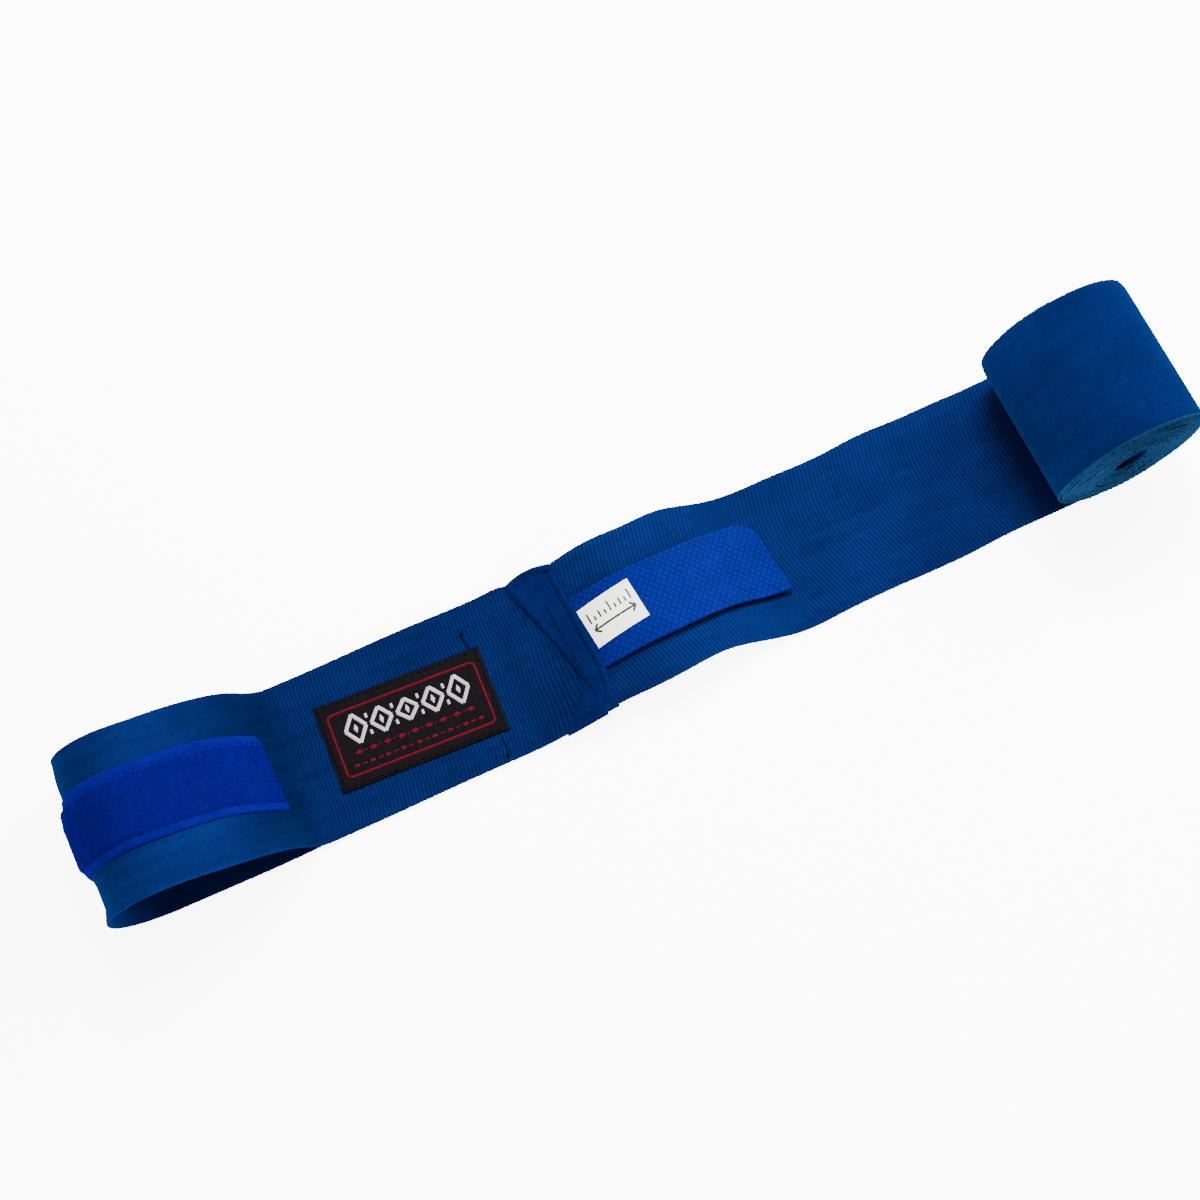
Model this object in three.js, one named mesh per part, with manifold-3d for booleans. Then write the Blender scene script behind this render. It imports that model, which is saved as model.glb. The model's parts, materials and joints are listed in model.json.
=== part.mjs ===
// A boxing hand wrap, lying partly unrolled: one long elastic cotton strap, its closure end folded
// back over itself, the rest wound into a roll.
// Millimetres. +X runs along the strap toward the roll, +Y across the strap, +Z up.
// The pieces are laid out from a point on the table under the roll's axis; at the end the group
// is moved so that the origin is the middle of the whole part's underside.
import * as THREE from "three";
import { mergeVertices } from "three/addons/utils/BufferGeometryUtils.js";
import Module from "manifold-3d";

const wasm = await Module();
wasm.setup();

// ---- driving sizes ----

const CLOTH = 0.6; // thickness of the strap's cloth
const CLEARANCE = 0.4; // left between two layers that lie on each other
const TIGHT = 0.3; // left between pieces that are sewn, woven or stuck to each other
const STRAP_WIDTH = 50;
const SLACK_WIDTH = 52; // the folded end isn't pulled tight, so it is a little wider
const LOOP_TAPE_WIDTH = 25;
const LOOP_TAPE = 1.4; // thickness with its pile
const HOOK_TAPE_WIDTH = 24;
const HOOK_TAPE = 0.8; // thickness of the ground weave, without the hooks
const HOOKS = 0.8; // height of the field of hooks
const THREAD = 0.3; // how far a seam stands up
const THREAD_WIDTH = 0.6;
const SHEET_STEP = 4; // spacing of the cross sections along a layer

const ROLL_RADIUS = 25.45;
const CORE_RADIUS = 5.6; // where the strap's inner end starts, round the thumb loop
const TURN_PITCH = CLOTH + TIGHT; // from one modelled turn of the roll to the next

const LEAD_FROM = -92; // between here and the roll the strap is rolled up or paid out
const HEM_X = -173; // the strap's closure end
const TAB_TIP_X = -107;

// ---- the folded end's bend: a chain of straight pieces, hinged to each other ----

const LIFT_OFF = new THREE.Vector2(-320.5, CLOTH / 2); // x and z of the first hinge
const BEND_LENGTHS = [10.3, 10.3, 10.3, 10.3, 10.3, 20]; // the pieces between the hinges
const BEND_TURN = THREE.MathUtils.degToRad(33); // how far the strap turns at each hinge
const SLOPE_FOOT_Z = CLOTH * 1.5 + CLEARANCE;
const HINGE_GAP = 0.4; // cut away on each side of a hinge line

// The hinge lines of the bend, from the table round to the top and down to the flap.
function bendHinges() {
  const hinges = [LIFT_OFF.clone()];
  let heading = 0;
  for (const length of BEND_LENGTHS) {
    heading += BEND_TURN;
    const step = new THREE.Vector2(-Math.cos(heading), Math.sin(heading));
    hinges.push(hinges[hinges.length - 1].clone().addScaledVector(step, length));
  }
  const top = hinges[hinges.length - 1];
  const slope = heading + BEND_TURN - Math.PI;
  const drop = top.y - SLOPE_FOOT_Z;
  hinges.push(new THREE.Vector2(top.x + drop / Math.tan(slope), SLOPE_FOOT_Z));
  return hinges;
}

const HINGES = bendHinges();
const SLOPE_FOOT_X = HINGES[HINGES.length - 1].x;

// ---- heights and sideways drift along the strap ----

function smoothStep(from, to, x) {
  return THREE.MathUtils.smoothstep((x - from) / (to - from), 0, 1);
}

const HUMP = { crest: -153, height: 11, left: 40, right: 50 };

// Height of the lower run's middle surface: flat on the table but for one hump.
function runHeight(x) {
  const side = x < HUMP.crest ? HUMP.left : HUMP.right;
  const u = Math.min(1, Math.abs(x - HUMP.crest) / side);
  return CLOTH / 2 + (HUMP.height * (1 + Math.cos(Math.PI * u))) / 2;
}

const TAPE_UNDER_FROM = -190; // the sewn end of the hook tape lies under the flap from here on

// Height of the folded-back flap: it rests on the run, then on the sewn end of the hook tape.
function flapHeight(x) {
  const lift = smoothStep(TAPE_UNDER_FROM - 10, TAPE_UNDER_FROM - 1, x);
  return runHeight(x) + CLOTH + CLEARANCE + lift * (HOOK_TAPE + CLEARANCE);
}

// Height of the hook tape: under the flap, then over its own hooks, arched over the hump.
function hookTapeHeight(x) {
  const lift = smoothStep(HEM_X, HEM_X + 9, x) * (HOOKS + TIGHT + CLEARANCE);
  const along = Math.max(0, (x - HEM_X) / (TAB_TIP_X - HEM_X));
  const arch = 0.8 * Math.sin(Math.PI * Math.min(1, along));
  return runHeight(x) + (CLOTH + HOOK_TAPE) / 2 + CLEARANCE + lift + arch;
}

// The strap doesn't lie quite straight: it bends aside at the hump and drifts on from there.
function sideways(x) {
  const bend = 2.9 * smoothStep(-100, -140, x);
  return bend + 0.024 * Math.max(0, -205 - x);
}

// ---- solids ----

// The outline, in x and z, of a layer of a given thickness along a line of points.
function layerShape(points, thickness) {
  const above = [];
  const below = [];
  points.forEach((point, i) => {
    const before = points[Math.max(0, i - 1)];
    const after = points[Math.min(points.length - 1, i + 1)];
    const normal = new THREE.Vector2(before.y - after.y, after.x - before.x).normalize();
    above.push(point.clone().addScaledVector(normal, thickness / 2));
    below.push(point.clone().addScaledVector(normal, -thickness / 2));
  });
  return new THREE.Shape([...below, ...above.reverse()]);
}

// A shape in x and z, carried across the strap by width, centred on y = middle.
function acrossStrap(shape, width, middle = 0) {
  const geometry = new THREE.ExtrudeGeometry(shape, { depth: width, bevelEnabled: false });
  geometry.rotateX(Math.PI / 2);
  geometry.translate(0, middle + width / 2, 0);
  return geometry;
}

// Moves each point across the strap by the strap's drift at its place.
function drifted(geometry) {
  const position = geometry.getAttribute("position");
  for (let i = 0; i < position.count; i += 1) {
    position.setY(i, position.getY(i) + sideways(position.getX(i)));
  }
  return geometry;
}

function solidOf(geometry) {
  const bare = geometry.clone();
  bare.deleteAttribute("normal");
  bare.deleteAttribute("uv");
  const merged = mergeVertices(bare, 1e-4);
  const vertProperties = new Float32Array(merged.getAttribute("position").array);
  const triVerts = new Uint32Array(merged.index.array);
  return new wasm.Manifold(new wasm.Mesh({ numProp: 3, vertProperties, triVerts }));
}

function geometryOf(solid) {
  const mesh = solid.getMesh();
  const geometry = new THREE.BufferGeometry();
  geometry.setAttribute("position", new THREE.BufferAttribute(mesh.vertProperties, 3));
  geometry.setIndex(new THREE.BufferAttribute(mesh.triVerts, 1));
  const facets = geometry.toNonIndexed();
  facets.computeVertexNormals();
  return facets;
}

// Points along a height function, from one x to another.
function pointsAlong(height, from, to) {
  const steps = Math.max(1, Math.round((to - from) / SHEET_STEP));
  const points = [];
  for (let i = 0; i <= steps; i += 1) {
    const x = from + ((to - from) * i) / steps;
    points.push(new THREE.Vector2(x, height(x)));
  }
  return points;
}

// A layer that follows a height function, cut to a plan outline given as x, y pairs.
function layer(height, thickness, outline) {
  const xs = outline.map((corner) => corner[0]);
  const ys = outline.map((corner) => corner[1]);
  const margin = 1;
  const points = pointsAlong(height, Math.min(...xs) - margin, Math.max(...xs) + margin);
  const middle = (Math.min(...ys) + Math.max(...ys)) / 2;
  const width = Math.max(...ys) - Math.min(...ys) + 2 * margin;
  const sheet = solidOf(acrossStrap(layerShape(points, thickness), width, middle));
  const plan = new THREE.Shape(outline.map((corner) => new THREE.Vector2(...corner)));
  const prism = new THREE.ExtrudeGeometry(plan, { depth: 2 * ROLL_RADIUS, bevelEnabled: false });
  prism.translate(0, 0, -1);
  return geometryOf(sheet.intersect(solidOf(prism)));
}

// A straight piece of the bend between two hinge lines, lifted off the strap's middle by offset.
function bendPiece(start, end, thickness, width, offset, middle) {
  const along = end.clone().sub(start).normalize();
  const outward = new THREE.Vector2(-along.y, along.x);
  const from = start.clone().addScaledVector(along, HINGE_GAP).addScaledVector(outward, offset);
  const to = end.clone().addScaledVector(along, -HINGE_GAP).addScaledVector(outward, offset);
  return drifted(acrossStrap(layerShape([to, from], thickness), width, middle));
}

// A rectangle in plan, turned about its own middle.
function turnedRectangle(x, y, length, width, degrees) {
  const turn = THREE.MathUtils.degToRad(degrees);
  const corners = [
    [-1, -1],
    [1, -1],
    [1, 1],
    [-1, 1],
  ];
  return corners.map(([i, j]) => {
    const corner = new THREE.Vector2((i * length) / 2, (j * width) / 2);
    corner.rotateAround(new THREE.Vector2(), turn);
    return [x + corner.x, y + corner.y];
  });
}

// A thin closed line of thread in plan, from one point to another.
function threadOutline(from, to) {
  const [x1, y1] = from;
  const [x2, y2] = to;
  const length = Math.hypot(x2 - x1, y2 - y1);
  const turn = THREE.MathUtils.radToDeg(Math.atan2(y2 - y1, x2 - x1));
  return turnedRectangle((x1 + x2) / 2, (y1 + y2) / 2, length, THREAD_WIDTH, turn);
}

// ---- the assembly ----

const wrap = new THREE.Group();
wrap.name = "hand_wrap";

const FINISHES = {
  cloth: { color: 0x043376, roughness: 0.95, metalness: 0 },
  pile: { color: 0x022287, roughness: 1, metalness: 0 },
  hookTape: { color: 0x03399c, roughness: 0.5, metalness: 0 },
  label: { color: 0x1e1b1e, roughness: 0.9, metalness: 0 },
  redThread: { color: 0xa81c28, roughness: 0.8, metalness: 0 },
  paper: { color: 0xe8e6e4, roughness: 0.7, metalness: 0 },
  thread: { color: 0x031f52, roughness: 0.8, metalness: 0 },
};

function add(name, geometry, finish) {
  const mesh = new THREE.Mesh(geometry, new THREE.MeshStandardMaterial(FINISHES[finish]));
  mesh.name = name;
  wrap.add(mesh);
}

// ---- lower run, from the roll to the fold ----

function addRun() {
  const runEnd = LIFT_OFF.x + HINGE_GAP;
  const run = pointsAlong(runHeight, runEnd, LEAD_FROM - 0.15);
  add("strap_run", drifted(acrossStrap(layerShape(run, CLOTH), STRAP_WIDTH)), "cloth");
  const lead = pointsAlong(runHeight, LEAD_FROM + 0.15, -0.2);
  add("strap_lead", acrossStrap(layerShape(lead, CLOTH), STRAP_WIDTH), "cloth");
}

// ---- the fold: strap pieces with the loop tape sewn on their outer side ----

const LOOP_TAPE_MIDDLE = -1.5; // off the strap's own middle
const LOOP_TAPE_START = 3.4; // the tape starts this far past the first hinge, clear of the table
const LOOP_TAPE_STOP = 4.4; // and ends this far up the slope from its foot

function loopTapePiece(start, end) {
  const offset = CLOTH / 2 + CLEARANCE + LOOP_TAPE / 2;
  return bendPiece(start, end, LOOP_TAPE, LOOP_TAPE_WIDTH, offset, LOOP_TAPE_MIDDLE);
}

// The point at a distance from one hinge line on the way to another.
function pointToward(from, to, distance) {
  const way = to.clone().sub(from).normalize();
  return from.clone().addScaledVector(way, distance);
}

function addFold() {
  BEND_LENGTHS.forEach((length, i) => {
    const start = HINGES[i];
    const end = HINGES[i + 1];
    add(`strap_fold_${i + 1}`, bendPiece(start, end, CLOTH, SLACK_WIDTH, 0, 0), "cloth");
    const tapeStart = i === 0 ? pointToward(start, end, LOOP_TAPE_START) : start;
    add(`loop_tape_${i + 1}`, loopTapePiece(tapeStart, end), "pile");
  });
  const [top, foot] = HINGES.slice(-2);
  add("strap_slope", bendPiece(top, foot, CLOTH, SLACK_WIDTH, 0, 0), "cloth");
  const tapeEnd = pointToward(foot, top, LOOP_TAPE_STOP);
  add("loop_tape_end", loopTapePiece(top, tapeEnd), "pile");
}

// ---- the folded-back flap with its hem, label and seams ----

const HALF = SLACK_WIDTH / 2;
const HEM_MIDDLE = sideways(HEM_X);
const LABEL = { x: -231.7, y: 1.3, length: 53, width: 28, turn: -5 };
const LABEL_THICKNESS = 0.5;

// Height of a layer on top of the flap, above the flap's middle surface.
function overFlap(rise) {
  return (x) => flapHeight(x) + rise;
}

function addFlap() {
  const flap = pointsAlong(flapHeight, SLOPE_FOOT_X + HINGE_GAP, HEM_X);
  add("strap_flap", drifted(acrossStrap(layerShape(flap, CLOTH), SLACK_WIDTH)), "cloth");
}

// The end of the strap, turned up onto the flap with both corners tucked in.
function addHem() {
  const outline = [
    [HEM_X, HEM_MIDDLE + HALF - 1],
    [HEM_X - 16.5, HEM_MIDDLE + HALF - 2.5],
    [HEM_X - 9, HEM_MIDDLE - 4],
    [HEM_X - 17.5, HEM_MIDDLE - HALF + 1],
    [HEM_X - 4.4, HEM_MIDDLE - HALF + 0.5],
    [HEM_X, HEM_MIDDLE - HALF + 5],
  ];
  const hemRise = CLOTH + CLEARANCE;
  add("hem_fold", layer(overFlap(hemRise), CLOTH, outline), "cloth");
  const seamHeight = overFlap(hemRise + (CLOTH + THREAD) / 2 + CLEARANCE);
  const inset = 1.4;
  const hemSeam = threadOutline(
    [HEM_X - inset, HEM_MIDDLE - HALF + 6],
    [HEM_X - inset, HEM_MIDDLE + HALF - 2.5],
  );
  add("hem_seam", layer(seamHeight, THREAD, hemSeam), "thread");
  const cornerSeam = threadOutline(
    [HEM_X - 4.7, HEM_MIDDLE - HALF + 5],
    [HEM_X - 6.5, HEM_MIDDLE + HALF - 12],
  );
  add("corner_seam", layer(seamHeight, THREAD, cornerSeam), "thread");
}

function addLabel() {
  const rise = (CLOTH + LABEL_THICKNESS) / 2 + CLEARANCE;
  const outline = turnedRectangle(LABEL.x, LABEL.y, LABEL.length, LABEL.width, LABEL.turn);
  add("woven_label", layer(overFlap(rise), LABEL_THICKNESS, outline), "label");
}

// The red woven frame of the label and the dark thread that sews the label down.
function addLabelLines() {
  const rise = CLOTH / 2 + CLEARANCE + LABEL_THICKNESS + CLEARANCE + THREAD / 2;
  const frame = new THREE.Shape(labelCorners(LABEL.length - 8, LABEL.width - 8));
  frame.holes.push(new THREE.Path(labelCorners(LABEL.length - 9.2, LABEL.width - 9.2)));
  add("label_frame", flatRing(frame, flapHeight(LABEL.x) + rise), "redThread");
  const seam = new THREE.Shape(labelCorners(LABEL.length - 2, LABEL.width - 2));
  seam.holes.push(new THREE.Path(labelCorners(LABEL.length - 3.2, LABEL.width - 3.2)));
  add("label_seam", flatRing(seam, flapHeight(LABEL.x) + rise), "thread");
}

function labelCorners(length, width) {
  const corners = turnedRectangle(LABEL.x, LABEL.y, length, width, LABEL.turn);
  return corners.map((corner) => new THREE.Vector2(...corner));
}

// A flat ring of thread at one height.
function flatRing(shape, z) {
  const geometry = new THREE.ExtrudeGeometry(shape, { depth: THREAD, bevelEnabled: false });
  geometry.translate(0, 0, z - THREAD / 2);
  return geometry;
}

// The seam's two thread ends, which run on across the strap past the label.
function addThreadEnds() {
  const height = overFlap((CLOTH + THREAD) / 2 + CLEARANCE);
  const ends = {
    thread_end_far: threadOutline([-206.7, 16], [-206.2, 21]),
    thread_end_near: threadOutline([-208.9, -16.4], [-209.6, -21.5]),
  };
  for (const [name, outline] of Object.entries(ends)) {
    add(name, layer(height, THREAD, outline), "thread");
  }
}

// ---- hook tape: its sewn end under the flap, and the free tab ----

const TAB_MIDDLE = 1.5;
const TAB_HINGE_X = HEM_X + 0.6;
const TAPE_HALF = HOOK_TAPE_WIDTH / 2;

function addHookTape() {
  const sewn = [
    [TAPE_UNDER_FROM, TAB_MIDDLE - TAPE_HALF],
    [TAB_HINGE_X - HINGE_GAP, TAB_MIDDLE - TAPE_HALF],
    [TAB_HINGE_X - HINGE_GAP, TAB_MIDDLE + TAPE_HALF],
    [TAPE_UNDER_FROM, TAB_MIDDLE + TAPE_HALF],
  ];
  add("hook_tape_sewn_end", layer(hookTapeHeight, HOOK_TAPE, sewn), "hookTape");
  add("hook_tape_tab", layer(hookTapeHeight, HOOK_TAPE, tabOutline(0)), "hookTape");
}

// The free tab in plan: square at the hem, its tip cut a little askew with one rounded corner.
function tabOutline(inset) {
  const round = 6;
  const shape = new THREE.Shape();
  const left = TAB_HINGE_X + HINGE_GAP + inset * 4;
  const near = TAB_MIDDLE - TAPE_HALF + inset;
  const far = TAB_MIDDLE + TAPE_HALF - inset;
  const tipNear = TAB_TIP_X - inset;
  const tipFar = TAB_TIP_X - 4 - inset;
  shape.moveTo(left, near);
  shape.lineTo(tipNear, near);
  shape.lineTo(tipFar + 1, far - round);
  shape.quadraticCurveTo(tipFar, far, tipFar - round, far);
  shape.lineTo(left, far);
  const pointsPerCurve = 6;
  return shape.getPoints(pointsPerCurve).map((point) => [point.x, point.y]);
}

function addHooks() {
  const drop = (HOOK_TAPE + HOOKS) / 2 + TIGHT;
  const height = (x) => hookTapeHeight(x) - drop;
  add("hook_field", layer(height, HOOKS, tabOutline(1.5)), "hookTape");
}

function addSticker() {
  const thickness = 0.3;
  const rise = (HOOK_TAPE + thickness) / 2 + TIGHT;
  const outline = turnedRectangle(-162.6, 2.9, 17.5, 13.5, 5);
  add("size_sticker", layer((x) => hookTapeHeight(x) + rise, thickness, outline), "paper");
}

// ---- the roll: its outermost turn, the coil inside it, and the thumb loop in the core ----

const ROLL_AXIS_Z = ROLL_RADIUS;
const TURN_STEPS = 72;

// Points of a spiral about the roll's axis; angle 0 is at the bottom, and it grows toward +X.
function spiralPoints(fromRadius, toRadius, fromTurn, toTurn, steps) {
  const points = [];
  for (let i = 0; i <= steps; i += 1) {
    const share = i / steps;
    const radius = THREE.MathUtils.lerp(fromRadius, toRadius, share);
    const angle = 2 * Math.PI * THREE.MathUtils.lerp(fromTurn, toTurn, share);
    points.push(
      new THREE.Vector2(radius * Math.sin(angle), ROLL_AXIS_Z - radius * Math.cos(angle)),
    );
  }
  return points;
}

function addRoll() {
  const outer = ROLL_RADIUS - CLOTH / 2;
  const startTurn = 0.2 / (2 * Math.PI * outer);
  const turn = spiralPoints(outer, outer - TURN_PITCH, startTurn, 1, TURN_STEPS);
  add("roll_outer_turn", acrossStrap(layerShape(turn, CLOTH), STRAP_WIDTH), "cloth");

  const coilRadius = outer - TURN_PITCH - CLOTH / 2 - CLEARANCE;
  const coil = new THREE.Shape(spiralPoints(coilRadius, coilRadius, 0, 1, TURN_STEPS).slice(1));
  const boreSteps = 36;
  const bore = spiralPoints(CORE_RADIUS, CORE_RADIUS, 0, 1, boreSteps).slice(1);
  coil.holes.push(new THREE.Path(bore));
  add("roll_coil", acrossStrap(coil, STRAP_WIDTH - 0.6), "cloth");
}

// The thumb loop: a narrow tape loop pressed flat and wound up first, so it fills the core.
function addThumbLoop() {
  const loopWidth = 14;
  const hollow = 0.3; // between the loop's two pressed sides
  const spiral = spiralPoints(CORE_RADIUS - 1.2, 1.5, 0.1, 1.75, 60);
  const outside = layerShape(spiral, 2 * CLOTH + hollow);
  const innerPoints = spiral.slice(1, -1);
  outside.holes.push(new THREE.Path(layerShape(innerPoints, hollow).getPoints()));
  add("thumb_loop", acrossStrap(outside, loopWidth), "cloth");
  const tackRadius = CORE_RADIUS - 0.25;
  const tack = layerShape(spiralPoints(tackRadius, tackRadius, 0.02, 0.3, 8), THREAD / 2);
  add("thumb_loop_tack", acrossStrap(tack, loopWidth - 2), "thread");
}

addRun();
addFold();
addFlap();
addHem();
addLabel();
addLabelLines();
addThreadEnds();
addHookTape();
addHooks();
addSticker();
addRoll();
addThumbLoop();

// The origin becomes the middle of the whole part's underside.
const box = new THREE.Box3().setFromObject(wrap);
const middle = box.getCenter(new THREE.Vector3());
wrap.position.set(-middle.x, -middle.y, -box.min.z);

export default wrap;
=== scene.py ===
"""The look of a boxing hand wrap: a ribbed strap, folded at one end and wound into a roll at the other.

Lengths below are in millimetres, from a home point on the table under the roll's axis: x is negative
towards the fold, y is positive on the far side, and z is up from the table.
"""

import json
import math

import bpy
import numpy as np
from mathutils import Matrix, Vector


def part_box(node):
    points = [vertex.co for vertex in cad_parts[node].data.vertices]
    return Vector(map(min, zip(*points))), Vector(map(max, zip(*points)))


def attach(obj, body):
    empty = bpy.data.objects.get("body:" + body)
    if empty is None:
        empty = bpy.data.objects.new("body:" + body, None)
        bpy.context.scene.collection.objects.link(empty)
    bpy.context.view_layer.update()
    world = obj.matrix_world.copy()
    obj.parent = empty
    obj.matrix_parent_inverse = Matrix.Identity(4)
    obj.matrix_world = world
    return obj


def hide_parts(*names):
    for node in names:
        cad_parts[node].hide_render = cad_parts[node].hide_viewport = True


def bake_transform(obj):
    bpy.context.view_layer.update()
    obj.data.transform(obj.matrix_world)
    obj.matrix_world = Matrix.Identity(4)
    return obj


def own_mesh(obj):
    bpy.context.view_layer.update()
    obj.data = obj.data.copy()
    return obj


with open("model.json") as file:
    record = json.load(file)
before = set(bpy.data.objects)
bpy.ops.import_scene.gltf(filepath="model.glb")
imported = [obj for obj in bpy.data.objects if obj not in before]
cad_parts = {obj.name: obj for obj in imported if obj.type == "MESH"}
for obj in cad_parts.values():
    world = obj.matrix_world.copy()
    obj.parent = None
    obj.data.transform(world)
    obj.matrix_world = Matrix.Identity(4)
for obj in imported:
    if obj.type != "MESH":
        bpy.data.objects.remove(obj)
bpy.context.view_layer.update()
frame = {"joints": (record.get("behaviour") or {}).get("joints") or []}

MM = 0.001
JOINTS = {joint["name"]: joint for joint in frame["joints"]}
ROLL_AXIS = np.array(JOINTS["roll_turn"]["pos_m"])
HOME = np.array([ROLL_AXIS[0], ROLL_AXIS[1], 0.0])
FOLD_JOINTS = [f"fold_turn_{k}" for k in range(1, 8)] + ["fold_foot"]
FOLD_BODIES = ["run"] + [f"fold_{k}" for k in range(1, 7)] + ["slope", "flap"]


def row_point(point):
    """A point in millimetres from the home point, as metres in the row frame."""
    return HOME + np.array(point) * MM


def from_home(point):
    """A point in metres in the row frame, as millimetres from the home point."""
    return (np.array(point) - HOME) / MM


def node_centre(node):
    """The middle of a CAD node's box, in millimetres from the home point."""
    low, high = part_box(node)
    return from_home((np.array(low) + np.array(high)) / 2)


# ---- sizes -------------------------------------------------------------------------------------

STRAP_WIDTH = 50.0
SLACK_WIDTH = 52.0
CLOTH = 0.6
RIB_PITCH = 1.16
RIB_STRETCH = 1.27 / RIB_PITCH
ROWS_PER_RIB = 4
ROW_STEP = RIB_PITCH / ROWS_PER_RIB
RIB_HEIGHT = 0.085
LAYER_GAP = 1.0

ROLL_RADIUS = ROLL_AXIS[2] / MM
HINGES = [from_home(JOINTS[name]["pos_m"])[[0, 2]] for name in FOLD_JOINTS]
LEAD_FROM = from_home(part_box("strap_lead")[0])[0]
HEM_X = from_home(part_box("strap_flap")[1])[0]
HUMP_CREST, HUMP_HEIGHT, HUMP_LEFT, HUMP_RIGHT = -153.0, 11.0, 40.0, 50.0
RUN_HEIGHT = CLOTH / 2
LIFT_LEG, FOOT_LEG, FOOT_SHIFT = 10.3, 8.0, 1.4
BELLY_SHIFT = np.array([3.4, 2.8])

LOOP_TAPE_WIDTH = 25.0
TAPE_MARGIN = 3.0
HOOK_TAPE = 0.8
TAB_WIDTH = 24.0
DIAMOND_PITCH, DIAMOND_LEAN = 2.3, 0.9


# ---- small maths -------------------------------------------------------------------------------


def ease(start, end, value):
    """0 before start, 1 after end, and smooth between them."""
    t = np.clip((np.asarray(value, float) - start) / (end - start), 0, 1)
    return t * t * (3 - 2 * t)


def waves(seed, position, length, count=4):
    """A smooth random curve between about -1 and 1, whose waves are about that long."""
    chance = np.random.default_rng(seed)
    total = 0.0
    for k in range(count):
        pitch = length * chance.uniform(0.6, 1.7)
        total = total + np.sin(2 * math.pi * np.asarray(position) / pitch + chance.uniform(0, 6.3))
    return total / math.sqrt(2 * count)


# ---- the strap's route -------------------------------------------------------------------------


def sideways(x):
    """How far the strap's middle has drifted to the far side."""
    return 2.9 * ease(-100, -140, x) + 0.024 * np.maximum(0, -205 - np.asarray(x))


def run_height(x):
    """Middle of the cloth, on the table apart from one raised wave under the tab."""
    reach = np.where(x < HUMP_CREST, HUMP_LEFT, HUMP_RIGHT)
    share = np.minimum(1, np.abs(x - HUMP_CREST) / reach)
    return RUN_HEIGHT + HUMP_HEIGHT * (1 + np.cos(math.pi * share)) / 2


def flap_height(x):
    """Middle of the folded-over layer, which lies on the run and over the sewn tape."""
    return run_height(x) + LAYER_GAP + ease(-200, -191, x) * 1.2


def tape_height(x):
    """Middle of the hook tape, which comes out from under the hem and lies on the run."""
    along = np.clip((x + 173) / 66, 0, 1)
    rise = ease(-173, -164, x) * 0.6 + 0.35 * np.sin(math.pi * along)
    return run_height(x) + (CLOTH + HOOK_TAPE) / 2 + 0.4 + rise


def rounded_corners(corners, steps=24):
    """The quadratic B-spline of a row of corners: it touches the middle of each leg between them."""
    points = []
    for before, corner, after in zip(corners, corners[1:], corners[2:]):
        start, end = (before + corner) / 2, (corner + after) / 2
        for t in np.arange(steps) / steps:
            points.append((1 - t) ** 2 * start + 2 * t * (1 - t) * corner + t**2 * end)
    return np.array(points)


def strap_line():
    """The strap's middle line in x and z: along the table, round the fold and back to the hem."""
    lift, foot = HINGES[0], HINGES[-1] + np.array([FOOT_SHIFT, 0.0])
    belly = (HINGES[-2] + foot) / 2 + BELLY_SHIFT
    corners = [np.array([lift[0] + LIFT_LEG, RUN_HEIGHT]), lift, *HINGES[1:-1], belly, foot]
    corners.append(foot + np.array([FOOT_LEG, 0.0]))
    bend = rounded_corners(corners)
    run_x = np.arange(0, bend[0][0], -0.5)
    run = np.stack([run_x, run_height(run_x)], 1)
    flap_x = np.arange(bend[-1][0] + 0.3, HEM_X + 0.01, 0.5)
    flap = np.stack([flap_x, flap_height(flap_x)], 1)
    return np.concatenate([run, bend, flap])


class Route:
    """A line in x and z that can be asked for its point, direction and length."""

    def __init__(self, points, step=0.1):
        lengths = np.concatenate([[0], np.cumsum(np.hypot(*np.diff(points, axis=0).T))])
        self.s = np.arange(0, lengths[-1], step)
        self.x = np.interp(self.s, lengths, points[:, 0])
        self.z = np.interp(self.s, lengths, points[:, 1])
        soften = np.ones(9) / 9
        along_x, along_z = np.gradient(self.x), np.gradient(self.z)
        along_x = np.convolve(np.pad(along_x, 4, "edge"), soften, "valid")
        along_z = np.convolve(np.pad(along_z, 4, "edge"), soften, "valid")
        size = np.hypot(along_x, along_z)
        self.along_x, self.along_z = along_x / size, along_z / size
        self.length = self.s[-1]

    def at(self, s):
        """x, z and the outward normal's x and z at these distances along the line."""
        pick = lambda values: np.interp(s, self.s, values)
        return pick(self.x), pick(self.z), -pick(self.along_z), pick(self.along_x)

    def nearest(self, point, after=0.0):
        """How far along the line its point nearest to this one is, looking only after some distance."""
        gap = np.hypot(self.x - point[0], self.z - point[1])
        return float(self.s[np.argmin(np.where(self.s > after, gap, np.inf))])


STRAP = Route(strap_line())
TOP_OF_FOLD = float(STRAP.s[np.argmax(STRAP.z)])
LIFT_OFF = STRAP.nearest(HINGES[0])
FOOT = STRAP.nearest(HINGES[-1], after=TOP_OF_FOLD)
S_LEAD = -LEAD_FROM


STRETCH = RIB_STRETCH + (1 - RIB_STRETCH) * ease(TOP_OF_FOLD - 60, TOP_OF_FOLD, STRAP.s)
UNSTRETCHED = np.concatenate([[0], np.cumsum(np.diff(STRAP.s) / STRETCH[1:])])


def on_row(s):
    """The row of the cloth nearest to this distance along the strap: there are a few rows to each rib."""
    return int(round(np.interp(s, STRAP.s, UNSTRETCHED) / ROW_STEP))


def row_place(row):
    """How far along the strap a row is: the run is pulled tighter than the flap."""
    return np.interp(np.asarray(row) * ROW_STEP, UNSTRETCHED, STRAP.s)


def leg_middles():
    """Where the strap is cut into pieces: the middle of each leg between two hinges."""
    middles = [(a + b) / 2 for a, b in zip(HINGES, HINGES[1:])]
    return [on_row(STRAP.nearest(middle, after=LIFT_OFF)) for middle in middles]


CUTS = leg_middles()


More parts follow.
